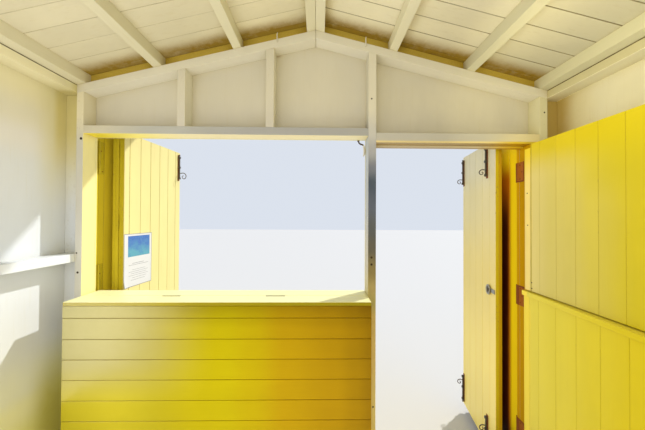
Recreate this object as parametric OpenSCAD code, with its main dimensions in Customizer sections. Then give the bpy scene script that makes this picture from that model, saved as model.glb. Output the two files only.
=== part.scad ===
// Timber beach hut: framed and boarded walls, a low gabled roof on purlins, a serving
// window with a counter, a folded window shutter, a folded outer door and a two-leaf
// stable door. Millimetres, +Z up, front of the hut towards -Y.

/* [Walls] */
// Half the clear width between the inner faces of the two side frames
half_in = 1347.5; // [1250:0.5:1500]
// Depth of the hut from outer face to outer face
depth = 2400; // [2000:10:3000]
// Width of a stud across its face
stud_w = 45; // [38:1:50]
// Depth of the front and back wall framing
front_d = 80; // [75:1:95]
// Depth of the side wall framing
side_d = 92; // [75:1:95]
// Thickness of the outer wall sheet
skin_t = 10; // [9:1:15]
// Top of the finished floor above the ground
floor_z = 95; // [85:1:120]

/* [Roof] */
// Height of the front rafters' upper edge at the ridge
ridge_z = 2635; // [2550:5:2800]
// Rise of the roof for each millimetre of half width
pitch = 0.2471; // [0.2:0.0001:0.35]
// Height of the purlins above the rafters, measured plumb
purlin_h = 62.5; // [50:0.5:75]
// Roof overhang in front of the walls
over_front = 335; // [300:5:360]
// Roof overhang behind the walls
over_back = 150; // [120:5:200]
// Roof overhang beyond the side walls
over_x = 90.5; // [60:0.5:120]

/* [Window and counter] */
// Left face of the post between the window and the door
post_l = -350; // [-380:1:-330]
// Right face of that post
post_r = -305; // [-310:1:-290]
// Underside of the window header
win_top = 2028; // [1950:1:2060]
// Top of the counter and of the window sill
counter_z = 1111; // [1000:1:1200]
// How far the counter stands in from the inner face of the framing
counter_in = 100; // [80:1:200]
// Edge of the window opening at the shutter's side
win_x = 1309.5; // [1303:0.5:1312]
// Length of the second and third shutter leaf
shutter_l = 533; // [500:1:533]
// Underside of the shutter, which hangs in front of the wall
shutter_bot = 930; // [900:5:1000]
// Top of the shutter
shutter_top = 2100; // [2060:5:2120]

/* [Doors] */
// Hinge-side reveal of the doorway
jamb_x = -1248; // [-1255:1:-1240]
// Underside of the door header
door_top = 1991; // [1991:1:2016]
// Top of the upper leaf of the stable door
upper_top = 1972; // [1940:1:1974]
// Underside of the upper leaf
upper_bot = 1156; // [1156:1:1180]
// Top of the lower leaf
lower_top = 1150; // [1100:1:1150]
// How far the upper leaf stands open, in degrees
upper_open = 89; // [80:1:90]
// How far the lower leaf stands open, in degrees
lower_open = 87; // [80:1:90]

/* [Hidden] */

f_in = skin_t + front_d;          // inner face of the front framing
half_fr = half_in + side_d;       // outer face of a side frame
half_out = half_fr + skin_t;      // outer face of a side wall
b_fr = depth - skin_t;            // outer face of the back framing
b_in = depth - f_in;              // inner face of the back framing
plate_h = 45;                     // plates and rails
rafter_h = 46;                    // rafters, measured plumb
eave_z = ridge_z - pitch * half_in;
ceil0 = ridge_z + purlin_h;       // underside of the roof boards at the ridge
deck_t = 16.5;
felt_t = 3;
roof_x = half_out + over_x;
board_t = 18;                     // bargeboards and counter boards
fascia_t = 16;
skin_bot = 40;
counter_y = f_in + counter_in;
sill_t = 20;
shut_near = -32;                  // hinge end of the first shutter leaf, at its batten
fold_near = -98;                  // near end of the other two leaves
front_y = fold_near - shutter_l;  // foremost point, the far end of the window shutter
leaf_t = 35;                      // thickness of a shutter leaf
back_y = depth + over_back + board_t;  // rearmost point, the back bargeboards
y_off = -(front_y + back_y) / 2;  // puts the origin under the middle of the whole part
px = jamb_x + 1.5;                // the stable door's hinge line
py = f_in + 8;

function rz(x) = ridge_z - pitch * abs(x);  // upper edge of the rafters
function cz(x) = ceil0 - pitch * abs(x);    // underside of the roof boards
gap = 0.2;                                  // room left where sloping faces meet

module put() translate([0, y_off, 0]) children();
module bx(x0, x1, y0, y1, z0, z1) translate([x0, y0, z0]) cube([x1 - x0, y1 - y0, z1 - z0]);
// The same box on the other side of the hut when s is -1
module sbx(s, x0, x1, y0, y1, z0, z1) bx(min(s * x0, s * x1), max(s * x0, s * x1), y0, y1, z0, z1);
// A flat outline in the XZ plane, between two depths
module xz(y0, y1, pts) translate([0, y1, 0]) rotate([90, 0, 0]) linear_extrude(y1 - y0) polygon(pts);
// A post whose top follows the underside of the rafters, on one side of the ridge
module rpost(x0, x1, y0, y1, z0)
  xz(y0, y1, [[x0, z0], [x1, z0], [x1, rz(x1) - rafter_h - gap], [x0, rz(x0) - rafter_h - gap]]);
// A leaf that stands out from the wall: its face from near corner to far corner, and the
// thickness behind that face, towards +X or, when t is negative, towards -X
module leaf(xn, yn, xf, yf, t, z0, z1) {
  a = atan2(yf - yn, xf - xn);
  l = sqrt(pow(xf - xn, 2) + pow(yf - yn, 2));
  translate([xn, yn, z0]) rotate([0, 0, a]) translate([0, min(0, t), 0]) cube([l, abs(t), z1 - z0]);
}

// ---- base ----
bearer_y = [15, 590, 1165, 1740, 2315];
module bearers() color("#8a7a62") put() for (y = bearer_y) bx(-half_fr, half_fr, y, y + 70, 0, 70);
module floor_deck() color("#a8946e") put() bx(-half_fr, half_fr, skin_t, b_fr, 70, floor_z);

// ---- side walls; s is 1 for the left wall (+X) and -1 for the right wall ----
side_y = [10, 594, 1177, 1761, 2345];
module side_skin(s) put() xz(skin_t, b_fr,
  [[s * half_fr, skin_bot], [s * half_out, skin_bot], [s * half_out, cz(half_out) - gap], [s * half_fr, cz(half_fr) - gap]]);
module side_studs(s) put() for (y = side_y)
  sbx(s, half_in, half_fr, y, y + stud_w, floor_z + plate_h, eave_z - plate_h);
module side_rails(s) put() {
  sbx(s, half_in, half_fr, skin_t, b_fr, floor_z, floor_z + plate_h);
  sbx(s, half_in, half_fr, skin_t, b_fr, eave_z - plate_h, eave_z);
  for (i = [0 : 3]) sbx(s, half_in, half_fr, side_y[i] + stud_w, side_y[i + 1], 1303, 1348);
}
module left_wall_skin() color("#e8d02c") side_skin(1);
module left_wall_studs() color("#f1ecdb") side_studs(1);
module left_wall_rails() color("#f1ecdb") side_rails(1);
module right_wall_skin() color("#e8d02c") side_skin(-1);
module right_wall_studs() color("#f1ecdb") side_studs(-1);
module right_wall_rails() color("#f1ecdb") side_rails(-1);

// ---- back wall ----
back_x = [-half_in, -921.5, -471.5, -22.5, 426.5, 876.5, half_in - stud_w];
// What is cut from the front and back sheets where the purlins run through them
purlin_x = [[-1, 51], [426.5, 471.5], [876.5, 921.5], [half_in - stud_w, half_in]];
module purlin_cuts(y0, y1) for (s = [-1, 1], b = purlin_x) xz(y0, y1,
  [[s * (b[0] - gap), rz(b[0])], [s * (b[1] + gap), rz(b[1])], [s * (b[1] + gap), ceil0], [s * (b[0] - gap), ceil0]]);
module back_wall_skin() color("#e8d02c") put() difference() {
  xz(b_fr, depth, [[-half_out, skin_bot], [half_out, skin_bot], [half_out, cz(half_out) - gap], [0, ceil0 - gap], [-half_out, cz(half_out) - gap]]);
  purlin_cuts(b_fr - 1, depth + 1);
}
module back_wall_studs() color("#f1ecdb") put() for (x = back_x)
  if (x == -22.5)
    xz(b_in, b_fr, [[x, floor_z + plate_h], [x + stud_w, floor_z + plate_h],
      [x + stud_w, rz(x + stud_w) - rafter_h - gap], [0, ridge_z - rafter_h - gap], [x, rz(x) - rafter_h - gap]]);
  else rpost(x, x + stud_w, b_in, b_fr, floor_z + plate_h);
module back_wall_rails() color("#f1ecdb") put() {
  bx(-half_in, half_in, b_in, b_fr, floor_z, floor_z + plate_h);
  for (i = [0 : 5]) bx(back_x[i] + stud_w, back_x[i + 1], b_in, b_fr, 1303, 1348);
}
module rafter_pair(y0, y1) for (s = [-1, 1]) xz(y0, y1,
  [[s * 0.75, rz(0.75)], [s * half_in, eave_z], [s * half_in, eave_z - rafter_h], [s * 0.75, rz(0.75) - rafter_h]]);
module back_rafters() color("#f1ecdb") put() rafter_pair(b_in, b_fr);

// ---- front wall sheet ----
module front_skin_gable() color("#e8d02c") put() {
  difference() {
    xz(0, skin_t, [[-half_out, win_top], [half_out, win_top], [half_out, cz(half_out) - gap], [0, ceil0 - gap], [-half_out, cz(half_out) - gap]]);
    purlin_cuts(-1, skin_t + 1);
  }
  bx(jamb_x + 1, post_l - 1, 0, skin_t, door_top, win_top - 1);
}
module front_skin_sides() color("#e8d02c") put() {
  bx(win_x, half_out, 0, skin_t, counter_z - sill_t, win_top);
  bx(post_l, post_r, 0, skin_t, counter_z - sill_t, win_top);
  bx(-half_out, jamb_x, 0, skin_t, skin_bot, win_top);
}
module front_skin_lower() color("#e8d02c") put() bx(post_l, half_out, 0, skin_t, skin_bot, counter_z - sill_t);
module door_casing() color("#e8d02c") put() {
  bx(jamb_x - 60, jamb_x, -12, 0, skin_bot, door_top - 0.5);
  bx(post_l, post_r, -12, 0, skin_bot, door_top - 0.5);
  bx(jamb_x - 60, post_r, -12, 0, door_top, door_top + 60);
}

// ---- front framing ----
module front_studs() color("#f1ecdb") put() {
  rpost(-half_in, -half_in + stud_w, skin_t, f_in, floor_z);
  rpost(win_x, half_in, skin_t, f_in, floor_z);
  bx(jamb_x - stud_w, jamb_x, skin_t, f_in, floor_z, door_top);
}
module middle_post() color("#f1ecdb") put() rpost(post_l, post_r, skin_t, f_in, floor_z);
module front_lower_frame() color("#f1ecdb") put() {
  bx(post_r, win_x, skin_t, f_in, floor_z, floor_z + plate_h);
  bx(post_r, win_x, skin_t, f_in, counter_z - sill_t - plate_h, counter_z - sill_t);
  for (x = [239, 742]) bx(x, x + stud_w, skin_t, f_in, floor_z + plate_h + 0.5, counter_z - sill_t - plate_h - 0.5);
}
module threshold() color("#cbb98c") put() bx(jamb_x, post_l, -12, skin_t, 45, floor_z);
module window_header() color("#f1ecdb") put() bx(post_r, win_x, skin_t, f_in, win_top, win_top + plate_h);
module door_header() color("#f1ecdb") put() bx(-half_in + stud_w, post_l, skin_t, f_in, door_top, door_top + 56);
module door_stop() color("#e3c21c") put() bx(jamb_x, post_l, skin_t, 38, door_top - 12, door_top);
module gable_studs() color("#f1ecdb") put() {
  rpost(742, 786, skin_t, f_in, win_top + plate_h);
  rpost(238, 284, skin_t, f_in, win_top + plate_h);
}
module front_rafters() color("#f1ecdb") put() rafter_pair(skin_t, f_in);

// ---- short blocks that close the gap between the purlins, over both pairs of rafters ----
block_x = [[51, 426.5], [471.5, 876.5], [921.5, half_in - stud_w]];
module eave_blocks(y) put() for (s = [-1, 1], b = block_x)
  xz(y, y + stud_w, [[s * b[0], rz(b[0]) + gap], [s * b[1], rz(b[1]) + gap], [s * b[1], cz(b[1]) - gap], [s * b[0], cz(b[0]) - gap]]);
module front_blocks() color("#ece2b8") eave_blocks(skin_t);
module back_blocks() color("#ece2b8") eave_blocks(b_fr - stud_w);

// ---- window sill and counter ----
module window_sill() color("#f0d93a") put() bx(post_r, win_x, -25, 79, counter_z - sill_t, counter_z);
module counter_shelf() color("#f0d93a") put()
  bx(post_r + 1, win_x - 0.5, 80, counter_y, counter_z - sill_t, counter_z);
module counter_front() color("#f0d93a") put()
  bx(post_r + 1, win_x - 0.5, counter_y - board_t, counter_y, floor_z, counter_z - sill_t);
module counter_ends() color("#f0d93a") put() for (x = [post_r + 1, win_x - 0.5 - board_t])
  bx(x, x + board_t, f_in, counter_y - board_t, floor_z, counter_z - sill_t);

// ---- roof ----
module purlin_bar(x0, x1, s) xz(-over_front, depth + over_back,
  [[s * x0, rz(x0) + gap], [s * x1, rz(x1) + gap], [s * x1, cz(x1) - gap], [s * x0, cz(x0) - gap]]);
module eave_beams() color("#ece2b8") put() for (s = [-1, 1]) purlin_bar(half_in - stud_w, half_in, s);
module purlins() color("#ece2b8") put() for (s = [-1, 1]) {
  purlin_bar(426.5, 471.5, s);
  purlin_bar(876.5, 921.5, s);
}
module ridge_beams() color("#ece2b8") put() for (s = [-1, 1]) purlin_bar(0.75, 51, s);
module roof_slab(s, y0, y1, x0, x1, z, t) xz(y0, y1,
  [[s * x0, z - pitch * x0], [s * x1, z - pitch * x1], [s * x1, z - pitch * x1 + t], [s * x0, z - pitch * x0 + t]]);
module roof_deck_left() color("#ece2b8") put() roof_slab(1, -over_front, depth + over_back, gap / 2, roof_x, ceil0, deck_t);
module roof_deck_right() color("#ece2b8") put() roof_slab(-1, -over_front, depth + over_back, gap / 2, roof_x, ceil0, deck_t);
module felt(s) put() roof_slab(s, -over_front, depth + over_back, gap / 2, roof_x, ceil0 + deck_t + gap, felt_t - gap);
module roof_felt_left() color("#5c6156") felt(1);
module roof_felt_right() color("#5c6156") felt(-1);
module bargeboards() color("#f1ecdb") put() for (y = [-over_front - board_t, depth + over_back], s = [-1, 1])
  roof_slab(s, y, y + board_t, 0.75, roof_x + fascia_t, ceil0 + deck_t + felt_t - 113, 113);
module eave_fascias() color("#f1ecdb") put() for (s = [-1, 1])
  sbx(s, roof_x, roof_x + fascia_t, -over_front, depth + over_back, cz(roof_x) - 70, cz(roof_x) + deck_t);
module corner_trims() color("#f1ecdb") put() for (s = [-1, 1]) {
  for (y = [-12, depth]) sbx(s, half_out - 48, half_out + 12, y, y + 12, skin_bot, 2250);
  for (y = [0.5, depth - 60]) sbx(s, half_out, half_out + 12, y, y + 59.5, skin_bot, 2250);
}

// ---- window shutter, three leaves folded against each other and standing open ----
// The first leaf hangs on a batten on the outside of the wall. The second is hinged to the
// first at the far end, and the third to the second at the near end.
leaf1_x = 1329;
module shutter_batten() color("#f0d93a") put() bx(leaf1_x, leaf1_x + 40, shut_near, 0, shutter_bot, shutter_top);
module window_shutter_1() color("#f4e24a") put()
  bx(leaf1_x, leaf1_x + leaf_t, front_y, shut_near, shutter_bot, shutter_top);
module window_shutter_2() color("#f4e24a") put()
  leaf(1260.5, fold_near, 1290, fold_near - 0.997 * shutter_l, leaf_t, shutter_bot, shutter_top);
module window_shutter_3() color("#f6ea9c") put()
  leaf(1224, fold_near, 1168.3, fold_near - 0.994 * shutter_l, leaf_t, shutter_bot, shutter_top);
module window_shutter_hinges() color("#e3c21c") put() for (z = [1064, 1820]) {
  bx(leaf1_x - 2.5, leaf1_x, shut_near - 36, shut_near + 26, z, z + 200);
  translate([leaf1_x - 5, shut_near, z]) cylinder(h = 200, r = 5, $fn = 32);
}

// ---- outer door, two leaves folded against each other and standing open ----
od_z0 = 60;
od_z1 = 2052;
module outer_door_1() color("#f4e24a") put() bx(-1300, -1262, -512, -12.5, od_z0, od_z1);
module outer_door_2() color("#f1e08a") put() leaf(-1125, -26, -1206.5, -506, -38, od_z0, od_z1);
module outer_door_hinges() color("#7a3b22") put() for (z = [220, 1030, 1780]) {
  bx(jamb_x, jamb_x + 2, -12, 44, z, z + 120);
  translate([jamb_x - 5, -17.2, z]) cylinder(h = 120, r = 4.6, $fn = 32);
}

// ---- stable door: the leaves are drawn shut and swung open about the hinge line ----
module swing(a) translate([px, py, 0]) rotate([0, 0, a]) translate([-px, -py, 0]) children();
dx0 = px + 5.5;     // hinge edge of a closed leaf
dx1 = post_l - 8;   // latch edge of a closed leaf
lower_bot = 103;
cap_h = 26;
module upper_leaf_boards() color("#f2dc3c") put() swing(upper_open) {
  bx(dx0, dx0 + 40, f_in - 38, f_in - 20, upper_bot, upper_top - 20);
  bx(dx0 + 40.5, dx1, f_in - 38, f_in - 20, upper_bot, upper_top);
}
module ledges(z0, z1) for (z = [z0 + 15, (z0 + z1) / 2 - 45, z1 - 135])
  bx(dx0 + 8, dx1 - 8, f_in - 20, f_in, z, z + 90);
module upper_leaf_ledges() color("#f2dc3c") put() swing(upper_open) ledges(upper_bot, upper_top);
module lower_leaf_boards() color("#f2dc3c") put() swing(lower_open)
  bx(dx0, dx1, f_in - 42, f_in - 20, lower_bot, lower_top - cap_h);
module lower_leaf_ledges() color("#f2dc3c") put() swing(lower_open) ledges(lower_bot, lower_top);
module lower_leaf_cap() color("#f5e878") put() swing(lower_open)
  bx(dx0, dx1, f_in - 54, f_in, lower_top - cap_h, lower_top);
// T hinges: the strap and the middle knuckle move, the plate and outer knuckles stay
function strap_z(z0, z1) = [z0 + 60, z1 - 90];
module strap(z) {
  translate([px, py, z - 14]) cylinder(h = 28, r = 6, $fn = 32);
  bx(px, px + 300, f_in, f_in + 3, z - 14, z + 14);
}
module upper_leaf_straps() color("#7a3b22") put() swing(upper_open) for (z = strap_z(upper_bot, upper_top)) strap(z);
module lower_leaf_straps() color("#7a3b22") put() swing(lower_open) for (z = strap_z(lower_bot, lower_top)) strap(z);
module hinge_plates() color("#7a3b22") put()
  for (z = concat(strap_z(upper_bot, upper_top), strap_z(lower_bot, lower_top))) {
    bx(jamb_x - 42, jamb_x - 3, f_in, f_in + 3, z - 50, z + 50);
    for (d = [-50, 15]) translate([px, py, z + d]) cylinder(h = 35, r = 6, $fn = 32);
  }

bearers();
floor_deck();
left_wall_skin();
left_wall_studs();
left_wall_rails();
right_wall_skin();
right_wall_studs();
right_wall_rails();
back_wall_skin();
back_wall_studs();
back_wall_rails();
back_rafters();
back_blocks();
front_skin_gable();
front_skin_sides();
front_skin_lower();
door_casing();
front_studs();
middle_post();
threshold();
front_lower_frame();
window_header();
door_header();
door_stop();
gable_studs();
front_rafters();
front_blocks();
window_sill();
counter_shelf();
counter_front();
counter_ends();
eave_beams();
purlins();
ridge_beams();
roof_deck_left();
roof_deck_right();
roof_felt_left();
roof_felt_right();
bargeboards();
eave_fascias();
corner_trims();
shutter_batten();
window_shutter_1();
window_shutter_2();
window_shutter_3();
window_shutter_hinges();
outer_door_1();
outer_door_2();
outer_door_hinges();
upper_leaf_boards();
upper_leaf_ledges();
upper_leaf_straps();
lower_leaf_boards();
lower_leaf_ledges();
lower_leaf_cap();
lower_leaf_straps();
hinge_plates();
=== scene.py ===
import math
import random

import bmesh
import bpy
from mathutils import Matrix, Vector


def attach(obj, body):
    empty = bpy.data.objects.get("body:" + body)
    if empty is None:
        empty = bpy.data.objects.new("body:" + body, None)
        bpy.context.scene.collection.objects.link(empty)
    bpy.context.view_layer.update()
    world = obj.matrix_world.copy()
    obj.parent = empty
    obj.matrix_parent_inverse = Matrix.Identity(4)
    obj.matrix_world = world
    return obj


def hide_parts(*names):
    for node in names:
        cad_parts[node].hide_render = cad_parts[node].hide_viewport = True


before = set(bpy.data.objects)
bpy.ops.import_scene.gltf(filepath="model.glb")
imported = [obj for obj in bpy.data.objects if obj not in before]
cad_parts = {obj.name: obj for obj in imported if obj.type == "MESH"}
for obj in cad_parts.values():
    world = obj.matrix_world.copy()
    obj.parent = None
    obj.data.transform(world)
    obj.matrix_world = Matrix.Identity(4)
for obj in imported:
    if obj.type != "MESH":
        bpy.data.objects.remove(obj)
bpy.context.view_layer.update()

YO = -968.5          # hut-local y to the row frame, as in the part's source
PITCH = 0.2471
RIDGE = 2635.0
CEIL = RIDGE + 62.5
RND = random.Random(20)


def rz(x):
    return RIDGE - PITCH * abs(x)


def cz(x):
    return CEIL - PITCH * abs(x)


def V(*p):
    return Vector(p)


# ---------------------------------------------------------------- camera, lights, floor
def make_camera():
    cam = bpy.data.cameras.new("camera")
    cam.sensor_width = 36.0
    cam.sensor_fit = "HORIZONTAL"
    cam.lens = 36.0 * 245.99 / 645.0
    cam.clip_start = 0.02
    cam.clip_end = 200.0
    ob = bpy.data.objects.new("camera", cam)
    bpy.context.scene.collection.objects.link(ob)
    yaw, pitch, roll = (math.radians(a) for a in (0.851, 0.502, 0.273))
    right = V(-math.cos(yaw), math.sin(yaw), 0)
    fwd = V(-math.sin(yaw), -math.cos(yaw), 0)
    up = V(0, 0, 1)
    f2 = fwd * math.cos(pitch) + up * math.sin(pitch)
    u2 = up * math.cos(pitch) - fwd * math.sin(pitch)
    r3 = right * math.cos(roll) + u2 * math.sin(roll)
    u3 = u2 * math.cos(roll) - right * math.sin(roll)
    m = Matrix((r3, u3, -f2)).transposed().to_4x4()
    m.translation = V(-0.0226, (1494 + YO) / 1000, 1.56)
    ob.matrix_world = m
    bpy.context.scene.camera = ob


def area(name, loc, target, size, size_y, power, color, cam_visible=False, glossy=False, diffuse=True):
    d = bpy.data.lights.new(name, "AREA")
    d.shape = "RECTANGLE"
    d.size, d.size_y = size, size_y
    d.energy = power
    d.color = color
    o = bpy.data.objects.new(name, d)
    bpy.context.scene.collection.objects.link(o)
    o.location = loc
    o.rotation_euler = (Vector(target) - Vector(loc)).to_track_quat("-Z", "Y").to_euler()
    o.visible_camera = cam_visible
    o.visible_glossy = glossy
    o.visible_diffuse = diffuse
    return o


def make_lights():
    w = bpy.data.worlds.new("studio")
    bpy.context.scene.world = w
    w.use_nodes = True
    bg = w.node_tree.nodes["Background"]
    bg.inputs[0].default_value = (0.84, 0.90, 1.0, 1)
    bg.inputs[1].default_value = 0.85
    s = bpy.data.lights.new("key", "SUN")
    s.energy = 2.9
    s.angle = math.radians(1.5)
    s.color = (1.0, 0.985, 0.94)
    o = bpy.data.objects.new("key", s)
    bpy.context.scene.collection.objects.link(o)
    o.rotation_euler = V(1.0, 0.70, -1.15).to_track_quat("-Z", "Y").to_euler()
    area("inside_fill", (0.25, 1.22, 1.50), (0.1, -0.98, 1.70), 2.0, 1.5, 13.8, (1.0, 0.97, 0.93))
    area("inside_floor_fill", (0.0, 0.25, 0.19), (0.0, 0.1, 2.06), 2.2, 1.8, 13.2, (1.0, 0.94, 0.82))
    area("left_wall_bounce", (1.25, 0.10, 1.0), (-0.68, -0.35, 1.25), 0.9, 0.9, 8.6, (1.0, 0.98, 0.95))
    area("left_wall_fill", (0.75, -0.33, 1.55), (1.44, -0.45, 1.55), 0.70, 1.2, 1.5, (1.0, 0.96, 0.86))
    area("right_wall_fill", (-0.80, -0.20, 2.10), (-1.44, -0.25, 2.13), 0.9, 0.25, 2.2, (1.0, 0.88, 0.45))
    area("left_wall_glare", (1.34, -0.475, 0.84), (0.0, -0.475, 0.84), 0.57, 0.54, 5.0, (1.0, 0.98, 0.93), glossy=True, diffuse=False)
    area("cavity_bounce", (-1.205, -1.03, 1.15), (-1.262, -1.03, 1.15), 0.08, 1.85, 0.40, (1.0, 0.86, 0.30))


def make_floor():
    bpy.ops.mesh.primitive_plane_add(size=60, location=(0, 0, -0.001))
    f = bpy.context.object
    f.name = "studio_floor"
    m = bpy.data.materials.new("studio_floor")
    m.use_nodes = True
    b = m.node_tree.nodes["Principled BSDF"]
    b.inputs["Base Color"].default_value = (0.62, 0.61, 0.60, 1)
    b.inputs["Roughness"].default_value = 0.9
    f.data.materials.append(m)


# ---------------------------------------------------------------- materials
class Nodes:
    def __init__(self, mat):
        mat.use_nodes = True
        self.t = mat.node_tree
        self.b = self.t.nodes["Principled BSDF"]

    def n(self, kind, **sets):
        x = self.t.nodes.new(kind)
        for k, v in sets.items():
            setattr(x, k, v)
        return x

    def put(self, sock, v):
        if isinstance(v, bpy.types.NodeSocket):
            self.t.links.new(v, sock)
        elif v is not None:
            sock.default_value = v

    def math(self, op, a, b=None, c=None, clamp=False):
        x = self.n("ShaderNodeMath", operation=op, use_clamp=clamp)
        for s, v in zip(x.inputs, (a, b, c)):
            self.put(s, v)
        return x.outputs[0]

    def mix(self, f, a, b, kind="MIX"):
        x = self.n("ShaderNodeMix", data_type="RGBA", blend_type=kind)
        self.put(x.inputs[0], f)
        self.put(x.inputs[6], a if isinstance(a, bpy.types.NodeSocket) else (*a, 1))
        self.put(x.inputs[7], b if isinstance(b, bpy.types.NodeSocket) else (*b, 1))
        return x.outputs[2]

    def attr(self, name, out="Fac"):
        x = self.n("ShaderNodeAttribute", attribute_name=name, attribute_type="GEOMETRY")
        return x.outputs[out]

    def vec(self, x, y, z):
        c = self.n("ShaderNodeCombineXYZ")
        for s, v in zip(c.inputs, (x, y, z)):
            self.put(s, v)
        return c.outputs[0]

    def noise(self, vec, w, scale=1.0, detail=3.0, rough=0.55, distort=0.0):
        x = self.n("ShaderNodeTexNoise", noise_dimensions="4D")
        self.put(x.inputs["Vector"], vec)
        self.put(x.inputs["W"], w)
        x.inputs["Scale"].default_value = scale
        x.inputs["Detail"].default_value = detail
        x.inputs["Roughness"].default_value = rough
        x.inputs["Distortion"].default_value = distort
        return x.outputs["Fac"]

    def ramp(self, f, lo, hi, a=0.0, b=1.0):
        x = self.n("ShaderNodeMapRange", interpolation_type="SMOOTHSTEP")
        self.put(x.inputs["Value"], f)
        for k, v in zip(("From Min", "From Max", "To Min", "To Max"), (lo, hi, a, b)):
            x.inputs[k].default_value = v
        return x.outputs["Result"]


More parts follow.
